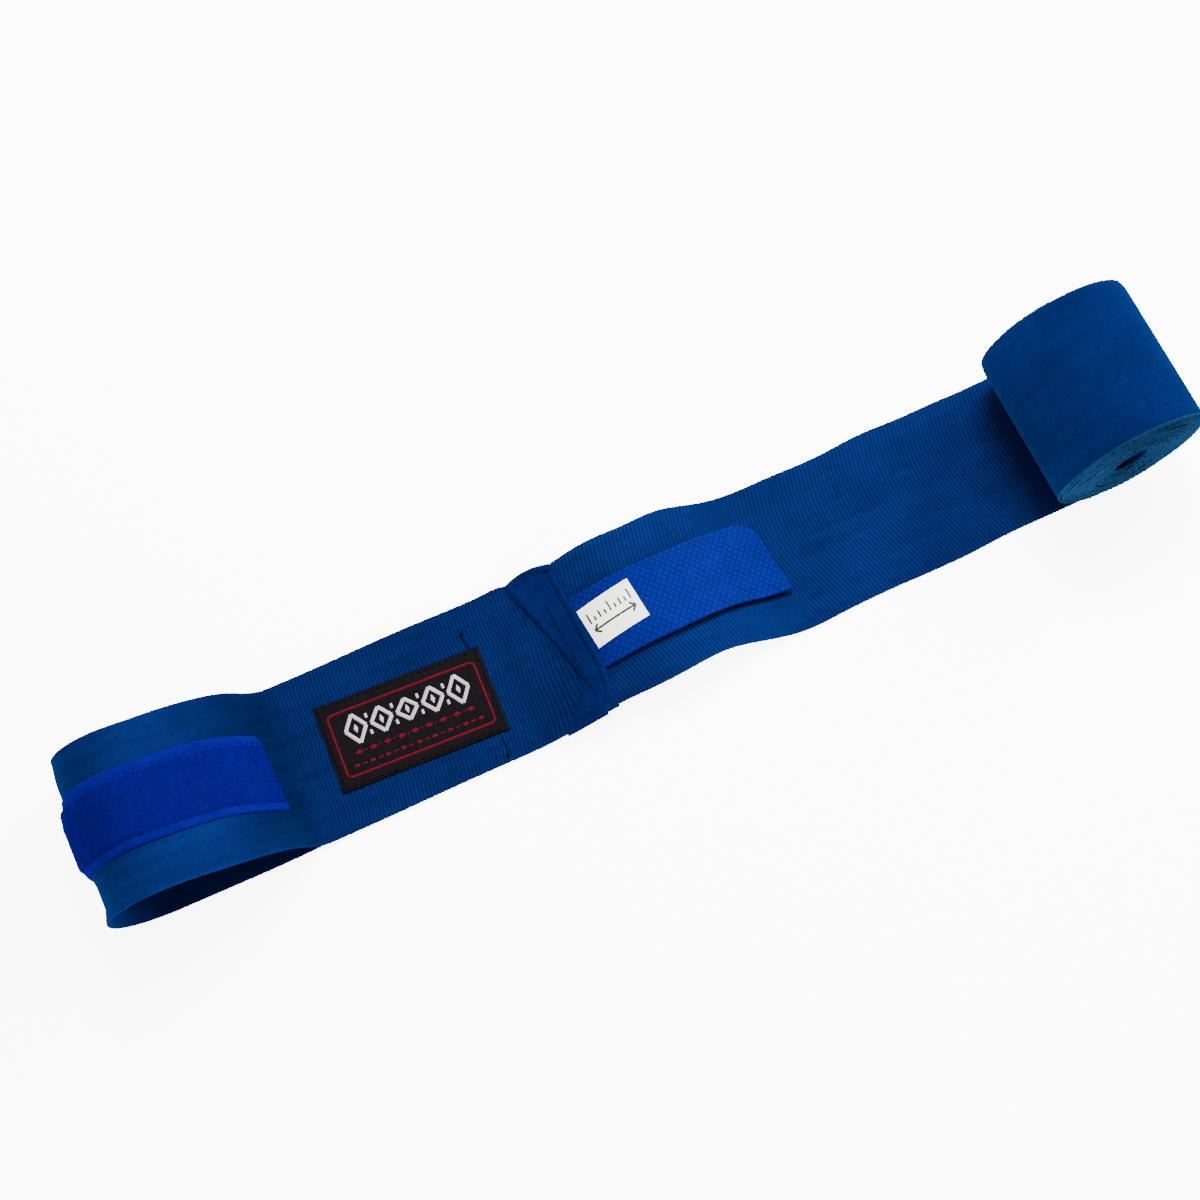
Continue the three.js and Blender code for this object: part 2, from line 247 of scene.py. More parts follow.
def smoothness(s, v):
    """1 where the cloth is stretched smooth and its ribs hardly show, 0 where they stand out."""
    fold = ease(265, 295, s) * (1 - ease(FOOT - 4, FOOT + 6, s))
    x = STRAP.at(s)[0]
    on_run = s < TOP_OF_FOLD
    far_patch = np.exp(-(((x + 118) / 6) ** 2) - ((v - 20) / 6) ** 2)
    near_patch = np.exp(-(((x + 119) / 8) ** 2) - ((v + 19) / 6) ** 2)
    return np.clip(0.75 * fold + 0.8 * on_run * (far_patch + near_patch), 0, 1)


def painted_flap_shade(s):
    """Painted shade along the strap: the slope and the flap are painted darker than the run."""
    return 1 - 0.5 * ease(FOOT - 42, FOOT - 12, s) + 0.3 * ease(FOOT - 2, FOOT + 10, s)


def rib_bow(s, v):
    """How far a rib stands further along the strap, v millimetres from its middle."""
    from_far = STRAP_WIDTH / 2 - v
    on_run = -2.9 * (1 + from_far / 200) * np.sin(math.pi * from_far / 37)
    on_flap = 5.0 * np.clip(from_far / STRAP_WIDTH, 0, 1.2) ** 1.3
    on_flap = on_flap + 0.4 * np.sin(2 * math.pi * from_far / 25)
    run_share = ease(2, 32, s) * (1 - ease(270, 300, s))
    flap_share = ease(FOOT - 6, FOOT + 12, s) * (1 - ease(STRAP.length - 18, STRAP.length - 4, s))
    return -run_share * on_run - flap_share * on_flap


def half_width(s):
    """Half of the strap's width: the folded end isn't pulled tight, so it is wider."""
    return (STRAP_WIDTH + (SLACK_WIDTH - STRAP_WIDTH) * ease(255, 290, s)) / 2


def edge_wave(s, side):
    """How far the strap's far (1) or near (-1) edge stands out from a straight line."""
    on_run = ease(20, 60, s) * (1 - ease(170, 200, s))
    on_slope = 0.7 * ease(FOOT - 62, FOOT - 45, s) * (1 - ease(FOOT, FOOT + 20, s))
    wave = 0.55 * waves(11 + side, s, 34) * (on_run + on_slope) + 0.25 * waves(5 + side, s, 60)
    rib = np.round(np.asarray(s) / RIB_PITCH)
    tight = ease(290, 320, s) * (1 - ease(FOOT - 20, FOOT, s))
    ragged = 0.06 * (1 - 0.6 * tight) * np.sin(rib * 12.9898 + side) * np.cos(rib * 4.1)
    under_hem = (side > 0) * ease(STRAP.length - 19, STRAP.length - 13, s)
    return side * (wave + ragged - 1.3 * under_hem)


def twist(s):
    """How much z rises for each millimetre towards the far side."""
    return -0.1 * np.sin(math.pi * np.clip((s - 318) / (FOOT - 322), 0, 1)) ** 1.5


def ripple(s, v):
    """Soft unevenness of the cloth where it lies free."""
    free = ease(34, 70, s) * (1 - ease(150, 175, s)) * ease(10, 24, np.abs(v))
    bumps = 0.5 + 0.5 * waves(23, s + 0.6 * v, 26)
    return 0.55 * free * bumps


def fold_bulge(s, v):
    """How far the fold's left side stands out: under the stiff tape, and where the near edge flares."""
    left = ease(318, 340, s) * (1 - ease(366, 392, s))
    under_tape = 1.5 * ease(-14, -8, v) * (1 - ease(4, 15, v))
    return left * (under_tape + 1.3 * ease(-21, -26, v) - 0.8 * ease(18, 26, v))


def hem_lift(x, v):
    """How far the hem's near corner stands up off the run."""
    return 2.4 * ease(-200, -176, x) * ease(-2, -25, v)


def strap_surface(s, v, lift):
    """Points on the strap, lift millimetres outside its middle, at these places along and across it."""
    x, z, out_x, out_z = STRAP.at(s)
    lift = lift + fold_bulge(s, v)
    height = z + lift * out_z + twist(s) * v + ripple(s, v) + hem_lift(x, v) * (s > TOP_OF_FOLD)
    return np.stack([x + lift * out_x, sideways(x) + v, height], -1)


# ---- meshes ------------------------------------------------------------------------------------


def mesh_object(name, points, faces, uv=None, smooth=True, sharp=()):
    """An object from points in millimetres, its faces, and a UV for each corner of each face."""
    mesh = bpy.data.meshes.new(name)
    mesh.from_pydata([tuple(p) for p in HOME + np.asarray(points) * MM], [], faces)
    mesh.update()
    if uv is not None:
        layer = mesh.uv_layers.new(name="UVMap")
        layer.data.foreach_set("uv", (np.asarray(uv, float) * MM).ravel())
    mesh.polygons.foreach_set("use_smooth", [smooth] * len(mesh.polygons))
    if len(sharp):
        sharp = {tuple(sorted(pair)) for pair in sharp}
        marks = [tuple(sorted(edge.vertices)) in sharp for edge in mesh.edges]
        layer = mesh.attributes.new("sharp_edge", "BOOLEAN", "EDGE")
        layer.data.foreach_set("value", marks)
    made = bpy.data.objects.new(name, mesh)
    bpy.context.scene.collection.objects.link(made)
    return made


class Shell:
    """A closed band of cloth: rows of points round its section, joined row to row and capped."""

    def __init__(self):
        self.points, self.faces, self.uv, self.sharp, self.tags = [], [], [], [], []
        self.ribs, self.tones = [], []

    def add(self, rings, uv, tags=None, ribs=1.0, tone=1.0):
        """rings: rows x around x 3 points. uv: rows x around x 2. tags: a material number for each column.

        ribs: how strongly the cloth's ribs show at each point. tone: how light the cloth is there, painted
        shade included."""
        rings, uv = np.asarray(rings, float), np.asarray(uv, float)
        rows, around = rings.shape[:2]
        self.ribs.append(np.broadcast_to(ribs, (rows, around)).reshape(-1))
        self.tones.append(np.broadcast_to(tone, (rows, around)).reshape(-1))
        first = sum(len(p) for p in self.points)
        self.points.append(rings.reshape(-1, 3))
        number = first + np.arange(rows * around).reshape(rows, around)
        flat = uv.reshape(-1, 2)
        after = np.roll(np.arange(around), -1)
        quads = np.stack([number[:-1], number[1:], number[1:][:, after], number[:-1][:, after]], -1)
        self.faces += quads.reshape(-1, 4).tolist()
        self.uv.append(flat[quads.reshape(-1) - first])
        columns = np.zeros(around, int) if tags is None else np.asarray(tags)
        self.tags += np.tile(columns, rows - 1).tolist()
        for row, flip in ((number[0], False), (number[-1], True)):
            half = around // 2
            for k in range(half):
                a, b = row[k], row[k + 1]
                c, d = row[(around - k - 1) % around], row[(around - k) % around]
                corners = [a, b] if k == half - 1 and b == c else [a, b, c]
                corners = list(dict.fromkeys([*corners, c, d]))
                if len(corners) < 3:
                    continue
                corners = corners[::-1] if flip else corners
                self.faces.append([int(n) for n in corners])
                self.uv.append(flat[np.array(corners) - first])
                self.tags.append(int(columns[k]))
            self.sharp += [(int(row[k]), int(row[after[k]])) for k in range(around)]

    def build(self, name, materials):
        """The finished object, with one material slot for each tag."""
        made = mesh_object(
            name, np.concatenate(self.points), self.faces, np.concatenate(self.uv), sharp=self.sharp
        )
        for material in materials:
            made.data.materials.append(material)
        made.data.polygons.foreach_set("material_index", self.tags)
        for key, values in (("ribs", self.ribs), ("tone", self.tones)):
            layer = made.data.attributes.new(key, "FLOAT", "POINT")
            layer.data.foreach_set("value", np.concatenate(values).astype(np.float32))
        return made


def across_section(half, spacing=1.9):
    """Places across a band from the far edge to the near one, close together at the edges."""
    inner = np.linspace(half - 2.4, 2.4 - half, max(3, int(2 * half / spacing)))
    edge = [half, half - 0.14, half - 0.45, half - 1.2]
    return np.array([*edge, *inner, *[-v for v in edge[::-1]]])


def thickness_share(v, half):
    """1 across a band's middle, falling round to 0 at its two edges."""
    depth = np.clip((half - np.abs(v)) / 0.45, 0, 1)
    return np.sqrt(np.clip(1 - (1 - depth) ** 2, 0, 1))


def frayed(s, from_middle):
    """1 on the near edge along the lip of the fold, where the selvedge is frayed and paler."""
    at_lip = ease(335, 350, s) * (1 - ease(FOOT, FOOT + 15, s))
    return ease(0.975, 0.995, -from_middle) * at_lip


def cloth_band(first_row, last_row):
    """The strap between two rows of ribs, as rings of points and their UVs."""
    rows = np.arange(first_row, last_row + 1)
    section = across_section(STRAP_WIDTH / 2)
    out_columns = len(section)
    v_round = np.concatenate([section, section[-2:0:-1]])
    side = np.concatenate([np.ones(out_columns), -np.ones(out_columns - 2)])
    share = thickness_share(v_round, STRAP_WIDTH / 2)
    from_middle = v_round / (STRAP_WIDTH / 2)
    s = row_place(rows)[:, None]
    wide = v_round[None, :] * half_width(s) / (STRAP_WIDTH / 2)
    at_edge = ease(0.9, 1.0, np.abs(from_middle))
    wave = np.where(v_round > 0, edge_wave(s, 1), edge_wave(s, -1))
    v = wide + wave * at_edge
    crest = np.cos(2 * math.pi * rows / ROWS_PER_RIB)[:, None]
    uneven = 1 + 0.25 * np.sin(rows[:, None] * 0.7 + v * 0.35)
    relief = RIB_HEIGHT * crest * uneven * (1 - 0.8 * smoothness(s, v))
    tooth = 0.06 * (1 - 0.6 * smoothness(s, v)) * ease(0.985, 1.0, np.abs(from_middle))
    v = v + np.sign(v_round) * tooth * crest
    lift = side * share * (CLOTH / 2 - RIB_HEIGHT + relief)
    place = np.clip(s + rib_bow(s, v), 0, STRAP.length)
    rings = strap_surface(place, v, lift)
    along = np.broadcast_to(rows[:, None] * ROW_STEP, v.shape)
    # tone: painted shade along the strap, made lighter where the frayed lip is paler
    tone = painted_flap_shade(s) * (1 + 0.5 * frayed(s, from_middle))
    return rings, np.stack([along, v + 100 * (side < 0)], -1), 1 - smoothness(s, v), tone


def stitch(shell, start, end, up, width=0.32, height=0.16, sides=6):
    """One stitch between two points on a surface, arched over it, its ends sunk in."""
    start, end, up = np.array(start), np.array(end), np.array(up)
    across = np.cross(end - start, up)
    across = across / np.linalg.norm(across)
    shares = np.array([0.0, 0.12, 0.35, 0.65, 0.88, 1.0])
    swell = np.array([0.25, 0.8, 1.0, 1.0, 0.8, 0.25])
    angles = np.arange(sides) / sides * 2 * math.pi
    rings = []
    for share, size in zip(shares, swell):
        middle = start + (end - start) * share + up * (0.22 * math.sin(math.pi * share) - 0.1)
        spoke_a = across * width / 2 * size
        spoke_b = up * height * size
        rings.append([middle + spoke_a * math.cos(t) + spoke_b * math.sin(t) for t in angles])
    shell.add(rings, np.stack(np.meshgrid(shares * np.linalg.norm(end - start), angles, indexing="ij"), -1))


def stitch_line(shell, surface, path, length=2.4, gap=0.55, **sizes):
    """Stitches along a path of (place, across) on a surface: surface(place, across) gives point and up."""
    path = np.array(path, float)
    lengths = np.concatenate([[0], np.cumsum(np.hypot(*np.diff(path, axis=0).T))])
    at = 0.0
    while at + length < lengths[-1]:
        ends = []
        for distance in (at, at + length):
            spot = [np.interp(distance, lengths, path[:, k]) for k in (0, 1)]
            ends.append(surface(*spot))
        (start, up), (end, _) = ends
        stitch(shell, start, end, up, **sizes)
        at += length + gap


def satin(shell, surface, path, width, height=0.2, pitch=0.42, closed=False, taper=0.0):
    """A line of satin stitch: ridges of thread lying across a path on a surface."""
    path = np.array(path, float)
    if closed:
        path = np.concatenate([path, path[:1]])
    lengths = np.concatenate([[0], np.cumsum(np.hypot(*np.diff(path, axis=0).T))])
    total = lengths[-1]
    count = max(4, int(round(total / pitch)) * 4)
    at = np.linspace(0, total, count + 1)

    def place(distance):
        distance = distance % total if closed else distance
        return np.stack([np.interp(distance, lengths, path[:, k]) for k in (0, 1)], 1)

    spots = place(at)
    way = place(at + 0.25) - place(at - 0.25)
    way = way / np.maximum(np.hypot(*way.T), 1e-6)[:, None]
    normal = np.stack([-way[:, 1], way[:, 0]], 1)
    ridge = 0.75 + 0.25 * np.cos(2 * math.pi * np.arange(count + 1) / 4)
    uneven = 0.94 + 0.06 * np.cos(np.arange(count + 1) * 2.4)
    wide = width * (1 - taper * np.abs(2 * at / total - 1)) * uneven
    profile = [(-0.5, -0.08), (-0.46, 0.35), (-0.2, 0.9), (0.2, 0.9), (0.46, 0.35), (0.5, -0.08)]
    rings, uv = [], []
    for k in range(count + 1):
        ring = []
        for share, rise in profile:
            spot = spots[k] + normal[k] * share * wide[k]
            point, up = surface(*spot)
            ring.append(point + up * rise * height * ridge[k])
        rings.append(ring)
        uv.append([(at[k], share * wide[k]) for share, _ in profile])
    shell.add(rings, uv)


# ---- materials ---------------------------------------------------------------------------------


class Recipe:
    """Builds one procedural material node by node."""

    def __init__(self, name):
        self.material = bpy.data.materials.new(name)
        self.material.use_nodes = True
        self.tree = self.material.node_tree
        self.shader = self.tree.nodes["Principled BSDF"]

    def node(self, kind, inputs=None, **settings):
        made = self.tree.nodes.new(kind)
        for key, value in settings.items():
            setattr(made, key, value)
        for key, value in (inputs or {}).items():
            self.put(made.inputs[key], value)
        return made

    def put(self, socket, value):
        if isinstance(value, bpy.types.NodeSocket):
            self.tree.links.new(value, socket)
        elif isinstance(value, tuple) and len(value) == 3 and socket.type == "RGBA":
            socket.default_value = (*value, 1.0)
        else:
            socket.default_value = value

    def set(self, **values):
        """Sets the shader's inputs, with _ for a space in each name."""
        for key, value in values.items():
            self.put(self.shader.inputs[key.replace("_", " ")], value)

    def math(self, operation, a, b=0.0, c=0.0):
        return self.node("ShaderNodeMath", {0: a, 1: b, 2: c}, operation=operation).outputs[0]

    def product(self, first, *others):
        """Some values multiplied together."""
        for other in others:
            first = self.math("MULTIPLY", first, other)
        return first

    def attribute(self, name):
        """A value kept at each point of the mesh."""
        return self.node("ShaderNodeAttribute", attribute_name=name).outputs["Fac"]

    def uv(self):
        """The UV's two values, in millimetres."""
        where = self.node("ShaderNodeUVMap", uv_map="UVMap").outputs[0]
        parts = self.node("ShaderNodeSeparateXYZ", {0: where})
        return [self.math("MULTIPLY", parts.outputs[k], 1 / MM) for k in (0, 1)]

    def noise(self, size, detail=3.0, rough=0.55):
        """Noise whose features are about that many millimetres across, from 0 to 1."""
        where = self.node("ShaderNodeTexCoord").outputs["Object"]
        settings = {"Vector": where, "Scale": 1 / (size * MM), "Detail": detail, "Roughness": rough}
        return self.node("ShaderNodeTexNoise", settings).outputs["Fac"]

    def streaks(self, size, stretch):
        """Noise drawn out along the cloth."""
        where = self.node("ShaderNodeUVMap", uv_map="UVMap").outputs[0]
        where = self.node("ShaderNodeMapping", {0: where, "Scale": (stretch, 1, 1)}).outputs[0]
        return self.node("ShaderNodeTexNoise", {"Vector": where, "Scale": 1 / (size * MM)}).outputs["Fac"]

    def wave(self, position, pitch, sharp=1.0):
        """Ridges from 0 to 1 along a value in millimetres."""
        turn = self.math("MULTIPLY", position, 2 * math.pi / pitch)
        half = self.math("MULTIPLY_ADD", self.math("COSINE", turn), 0.5, 0.5)
        return half if sharp == 1.0 else self.math("POWER", half, sharp)

    def spread(self, value, low, high):
        """A value's middle range stretched to run from low to high."""
        return self.node(
            "ShaderNodeMapRange",
            {"Value": value, "From Min": 0.3, "From Max": 0.7, "To Min": low, "To Max": high},
            clamp=True,
        ).outputs[0]

    def mix(self, share, a, b):
        made = self.node("ShaderNodeMix", data_type="RGBA")
        for key, value in ((0, share), (6, a), (7, b)):
            self.put(made.inputs[key], value)
        return made.outputs[2]

    def scaled(self, colour, factor):
        """A colour made lighter or darker by a factor, which can be a socket."""
        made = self.node("ShaderNodeVectorMath", {0: colour, "Scale": factor}, operation="SCALE")
        return made.outputs[0]

    def bump(self, height, depth, strength=1.0):
        """A normal from a height between 0 and 1 that is depth millimetres deep."""
        made = self.node("ShaderNodeBump", {"Height": height, "Distance": depth * MM, "Strength": strength})
        self.set(Normal=made.outputs[0])


def strap_material(name, dark, light, rib=1.0, streaky=0.11):
    """Elastic cotton: cross ribs of twisted yarn, a fine weave along them, and a soft sheen. The rib crests
    carry a painted highlight and the grooves painted shade.
    """
    recipe = Recipe(name)
    along, across = recipe.uv()
    shown = recipe.math("MULTIPLY", recipe.attribute("ribs"), rib)
    ridge = recipe.math("MULTIPLY", recipe.wave(along, RIB_PITCH, 1.5), shown)
    yarn = recipe.wave(recipe.math("ADD", across, recipe.math("MULTIPLY", along, 0.35)), 0.62)
    blotch = recipe.spread(recipe.noise(26, 2.0), 0.85, 1.15)
    fleck = recipe.spread(recipe.noise(2.2, 3.0), 0.9, 1.1)
    fibre = recipe.spread(recipe.noise(0.35, 2.0), 0.85, 1.15)
    streak = recipe.spread(recipe.streaks(3.0, 0.08), 1 - streaky, 1 + streaky)
    # the tone attribute carries painted shade on the slope, the flap and the roll's outer turn
    shade = recipe.product(blotch, fleck, fibre, streak, recipe.attribute("tone"))
    plain = recipe.math("MULTIPLY_ADD", recipe.math("SUBTRACT", 1.0, shown), 0.3, 0.0)
    # painted highlight on the rib crests and painted shade in the grooves, mixed with the yarn's weave
    light_share = recipe.math("MULTIPLY_ADD", ridge, 0.8, plain)
    light_share = recipe.math("MULTIPLY_ADD", yarn, 0.075, light_share)
    colour = recipe.scaled(recipe.mix(light_share, dark, light), shade)
    height = recipe.math("MULTIPLY_ADD", yarn, 0.125, recipe.math("MULTIPLY", ridge, 0.5))
    height = recipe.math("MULTIPLY_ADD", recipe.noise(0.28, 2.0), 0.3, height)
    recipe.bump(height, 0.07)
    recipe.set(
        Base_Color=colour,
        Roughness=recipe.spread(recipe.noise(1.5), 0.78, 0.95),
        Specular_IOR_Level=0.0,
        Sheen_Weight=0.03,
        Sheen_Roughness=0.45,
        Sheen_Tint=(0.0, 0.3, 0.8),
    )
    return recipe.material


def edge_material():
    """The frayed selvedge seen on the roll's ends, paler and greener than the cloth's face."""
    recipe = Recipe("strap_selvedge")
    along = recipe.uv()[0]
    tuft = recipe.math("MULTIPLY_ADD", recipe.wave(along, RIB_PITCH, 1.5), 0.15, 0.66)
    pale = recipe.math("MULTIPLY", tuft, recipe.spread(recipe.streaks(0.75, 0.05), 0.25, 1.0))
    pale = recipe.math("MULTIPLY", pale, recipe.spread(recipe.noise(6.0, 2.0), 0.6, 1.0))
    colour = recipe.mix(pale, (0.0011, 0.0075, 0.029), (0.0068, 0.026, 0.062))
    recipe.bump(recipe.noise(0.4, 3.0), 0.08)
    recipe.set(Base_Color=colour, Roughness=0.92, Specular_IOR_Level=0.0)
    recipe.set(Sheen_Weight=0.03, Sheen_Roughness=0.5, Sheen_Tint=(0.1, 0.5, 0.7))
    return recipe.material


def pile_material():
    """Brushed nylon loops, deep blue, with small matted patches."""
    recipe = Recipe("loop_pile")
    curls = recipe.noise(0.9, 4.0, 0.75)
    patch = recipe.noise(5.0, 3.0)
    colour = recipe.mix(recipe.spread(curls, 0.0, 1.0), (0.0014, 0.0002, 0.035), (0.0023, 0.0006, 0.069))
    colour = recipe.scaled(colour, recipe.spread(patch, 0.92, 1.08))
    recipe.bump(curls, 0.25)
    recipe.set(Base_Color=colour, Roughness=0.85, Specular_IOR_Level=0.0)
    recipe.set(Sheen_Weight=0.03, Sheen_Roughness=0.4, Sheen_Tint=(0.0, 0.05, 0.9))
    return recipe.material


def tape_material(name, dark, light, embossed, gloss):
    """Woven nylon tape: fine cross threads, and on the hook tape small embossed diamonds."""
    recipe = Recipe(name)
    along, across = recipe.uv()
    thread = recipe.wave(along, 0.4)
    lengthwise = recipe.wave(across, 0.55)
    slope_a = recipe.wave(recipe.math("MULTIPLY_ADD", across, DIAMOND_LEAN, along), DIAMOND_PITCH)
    slope_b = recipe.wave(recipe.math("MULTIPLY_ADD", across, -DIAMOND_LEAN, along), DIAMOND_PITCH)
    pattern = recipe.math("MULTIPLY", slope_a, slope_b)
    share = recipe.math("MULTIPLY_ADD", thread, 0.25, recipe.math("MULTIPLY", pattern, 0.6 * embossed))
    share = recipe.math("MULTIPLY_ADD", lengthwise, 0.15, share)
    colour = recipe.mix(share, dark, light)
    colour = recipe.scaled(colour, recipe.spread(recipe.noise(6.0), 0.88, 1.12))
    height = recipe.math("MULTIPLY_ADD", thread, 0.35, recipe.math("MULTIPLY", pattern, 0.5 * embossed))
    recipe.bump(height, 0.05)
    recipe.set(
        Base_Color=colour,
        Roughness=recipe.spread(recipe.noise(2.0), 0.42, 0.6),
        Specular_IOR_Level=gloss,
        Specular_Tint=(0.15, 0.35, 1.0),
        Sheen_Weight=0.02,
        Sheen_Roughness=0.4,
        Sheen_Tint=(0.0, 0.2, 1.0),
    )
    return recipe.material


def label_material():
    """Black damask label: fine twill with slight wear."""
    recipe = Recipe("label_black")
    along, across = recipe.uv()
    twill = recipe.wave(recipe.math("MULTIPLY_ADD", across, 0.8, along), 0.5)
    weft = recipe.wave(across, 0.3)
    share = recipe.math("MULTIPLY", twill, recipe.spread(recipe.noise(1.2), 0.4, 1.0))
    colour = recipe.mix(share, (0.0022, 0.0017, 0.0021), (0.006, 0.005, 0.0059))
    recipe.bump(recipe.math("MULTIPLY_ADD", weft, 0.3, twill), 0.045)
    recipe.set(Base_Color=colour, Roughness=0.75, Specular_IOR_Level=0.01)
    return recipe.material


def yarn_material(name, dark, light, gloss):
    """Satin-stitched or twisted thread."""
    recipe = Recipe(name)
    thread = recipe.wave(recipe.uv()[0], 0.42)
    share = recipe.math("MULTIPLY", thread, recipe.spread(recipe.noise(0.8), 0.5, 1.0))
    recipe.bump(recipe.math("MULTIPLY_ADD", recipe.noise(0.25), 0.4, thread), 0.04)
    recipe.set(Base_Color=recipe.mix(share, dark, light), Roughness=0.6, Specular_IOR_Level=gloss)
    return recipe.material


def paper_material():
    """White coated sticker paper."""
    recipe = Recipe("sticker_paper")
    fibre = recipe.noise(0.5, 4.0)
    colour = recipe.mix(recipe.spread(recipe.noise(5.0), 0.0, 1.0), (0.78, 0.77, 0.72), (0.83, 0.82, 0.78))
    recipe.bump(fibre, 0.02)
    recipe.set(Base_Color=colour, Roughness=recipe.spread(fibre, 0.5, 0.62), Specular_IOR_Level=0.4)
    return recipe.material


def ink_material():
    """Dark grey printing ink, slightly uneven."""
    recipe = Recipe("sticker_ink")
    uneven = recipe.spread(recipe.noise(0.6), 0.0, 1.0)
    colour = recipe.mix(uneven, (0.004, 0.004, 0.005), (0.016, 0.016, 0.018))
    recipe.set(Base_Color=colour, Roughness=0.6, Specular_IOR_Level=0.3)
    return recipe.material


# each cloth's dark and light colours give painted shade in the rib grooves and painted highlight on the
# crests
CLOTH_LOOK = strap_material("strap_cloth", (0.0014, 0.0033, 0.034), (0.001, 0.0108, 0.058))
ROLL_LOOK = strap_material("strap_cloth_roll", (0.0007, 0.003, 0.031), (0.0007, 0.0075, 0.046), 0.32, 0.1)
HEM_LOOK = strap_material("strap_cloth_hem", (0.0011, 0.0027, 0.034), (0.0008, 0.0078, 0.05), 0.45, 0.08)
EDGE_LOOK = edge_material()
PILE_LOOK = pile_material()
TAPE_LOOK = tape_material("loop_tape_edge", (0.002, 0.0006, 0.064), (0.0021, 0.0018, 0.086), 0.0, 0.0)
HOOK_LOOK = tape_material("hook_tape", (0.0011, 0.0011, 0.056), (0.0018, 0.0098, 0.11), 1.0, 0.02)
LABEL_LOOK = label_material()
RED_LOOK = yarn_material("red_yarn", (0.035, 0.0015, 0.004), (0.105, 0.0028, 0.0095), 0.02)
WHITE_LOOK = yarn_material("white_yarn", (0.2, 0.18, 0.2), (0.46, 0.42, 0.46), 0.2)
THREAD_LOOK = yarn_material("seam_thread", (0.0006, 0.0016, 0.016), (0.0008, 0.003, 0.03), 0.0)
TAPE_THREAD_LOOK = yarn_material("tape_thread", (0.001, 0.0003, 0.035), (0.0016, 0.0008, 0.06), 0.0)
BLACK_THREAD_LOOK = yarn_material("label_thread", (0.001, 0.001, 0.0015), (0.003, 0.003, 0.0045), 0.0)
PAPER_LOOK = paper_material()
INK_LOOK = ink_material()


# ---- the strap ---------------------------------------------------------------------------------


def strap_piece(name, first_row, last_row, nodes):
    """One length of the strap, standing for the CAD nodes it covers."""
    shell = Shell()
    rings, uv, ribs, tone = cloth_band(first_row, last_row)
    shell.add(rings, uv, ribs=ribs, tone=tone)
    made = shell.build(name, [CLOTH_LOOK])
    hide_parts(*nodes)
    return made


def fold_pieces():
    """(first row, last row, body before, body after, blend start, blend end) round the fold."""
    start = on_row(LIFT_OFF - 5.15)
    end_row = on_row(STRAP.length) - 1
    foot_row = on_row(FOOT + 9)
    pieces = []
    edges = [on_row(S_LEAD), *CUTS, end_row]
    for k, (first, last) in enumerate(zip(edges, edges[1:])):
        blend_from = start if k == 0 else first
        blend_to = foot_row if k == len(edges) - 2 else last
        pieces.append((first, last, FOLD_BODIES[k], FOLD_BODIES[k + 1], blend_from, blend_to))
    return pieces


FOLD_PIECES = fold_pieces()


def make_strap():
    """The flat run, the fold and the flap: one cloth, cut where the fold's hinges are."""
    for k, (first, last, before, after, start, end) in enumerate(FOLD_PIECES):
        name = "strap_run_cloth" if k == 0 else f"strap_bend_cloth_{k}"
        nodes = ["strap_run"] if k == 0 else [f"strap_fold_{k}"]
        if k == len(FOLD_PIECES) - 1:
            name, nodes = "strap_flap_cloth", ["strap_slope", "strap_flap"]
        made = strap_piece(name, first, last, nodes)
        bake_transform(made)


def make_lead():
    """The last stretch before the roll, attached to the run; on the real wrap it is wound up as the roll
    comes along.
    """
    made = strap_piece("strap_lead_cloth", 0, on_row(S_LEAD), ["strap_lead"])
    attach(made, "run")
    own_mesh(made)


make_strap()
make_lead()


# ---- the roll ----------------------------------------------------------------------------------

TURN_PITCH = 0.444
OUTER_RADIUS = 25.15
OUTER_PITCH = 0.65
COIL_RADIUS = 23.95
CORE_RADIUS = 5.9
NEAR_END_LEAN = 1.5
THUMB_WIDTH = 14.0
THUMB_RADIUS = 5.0
THUMB_PITCH = 0.95
THUMB_TURNS = 4.0
TACK_RADIUS = 5.42
TACK_STITCHES, TACK_SPACING = 9, 1.3
TACK_FROM, TACK_TO = math.radians(196), math.radians(224)


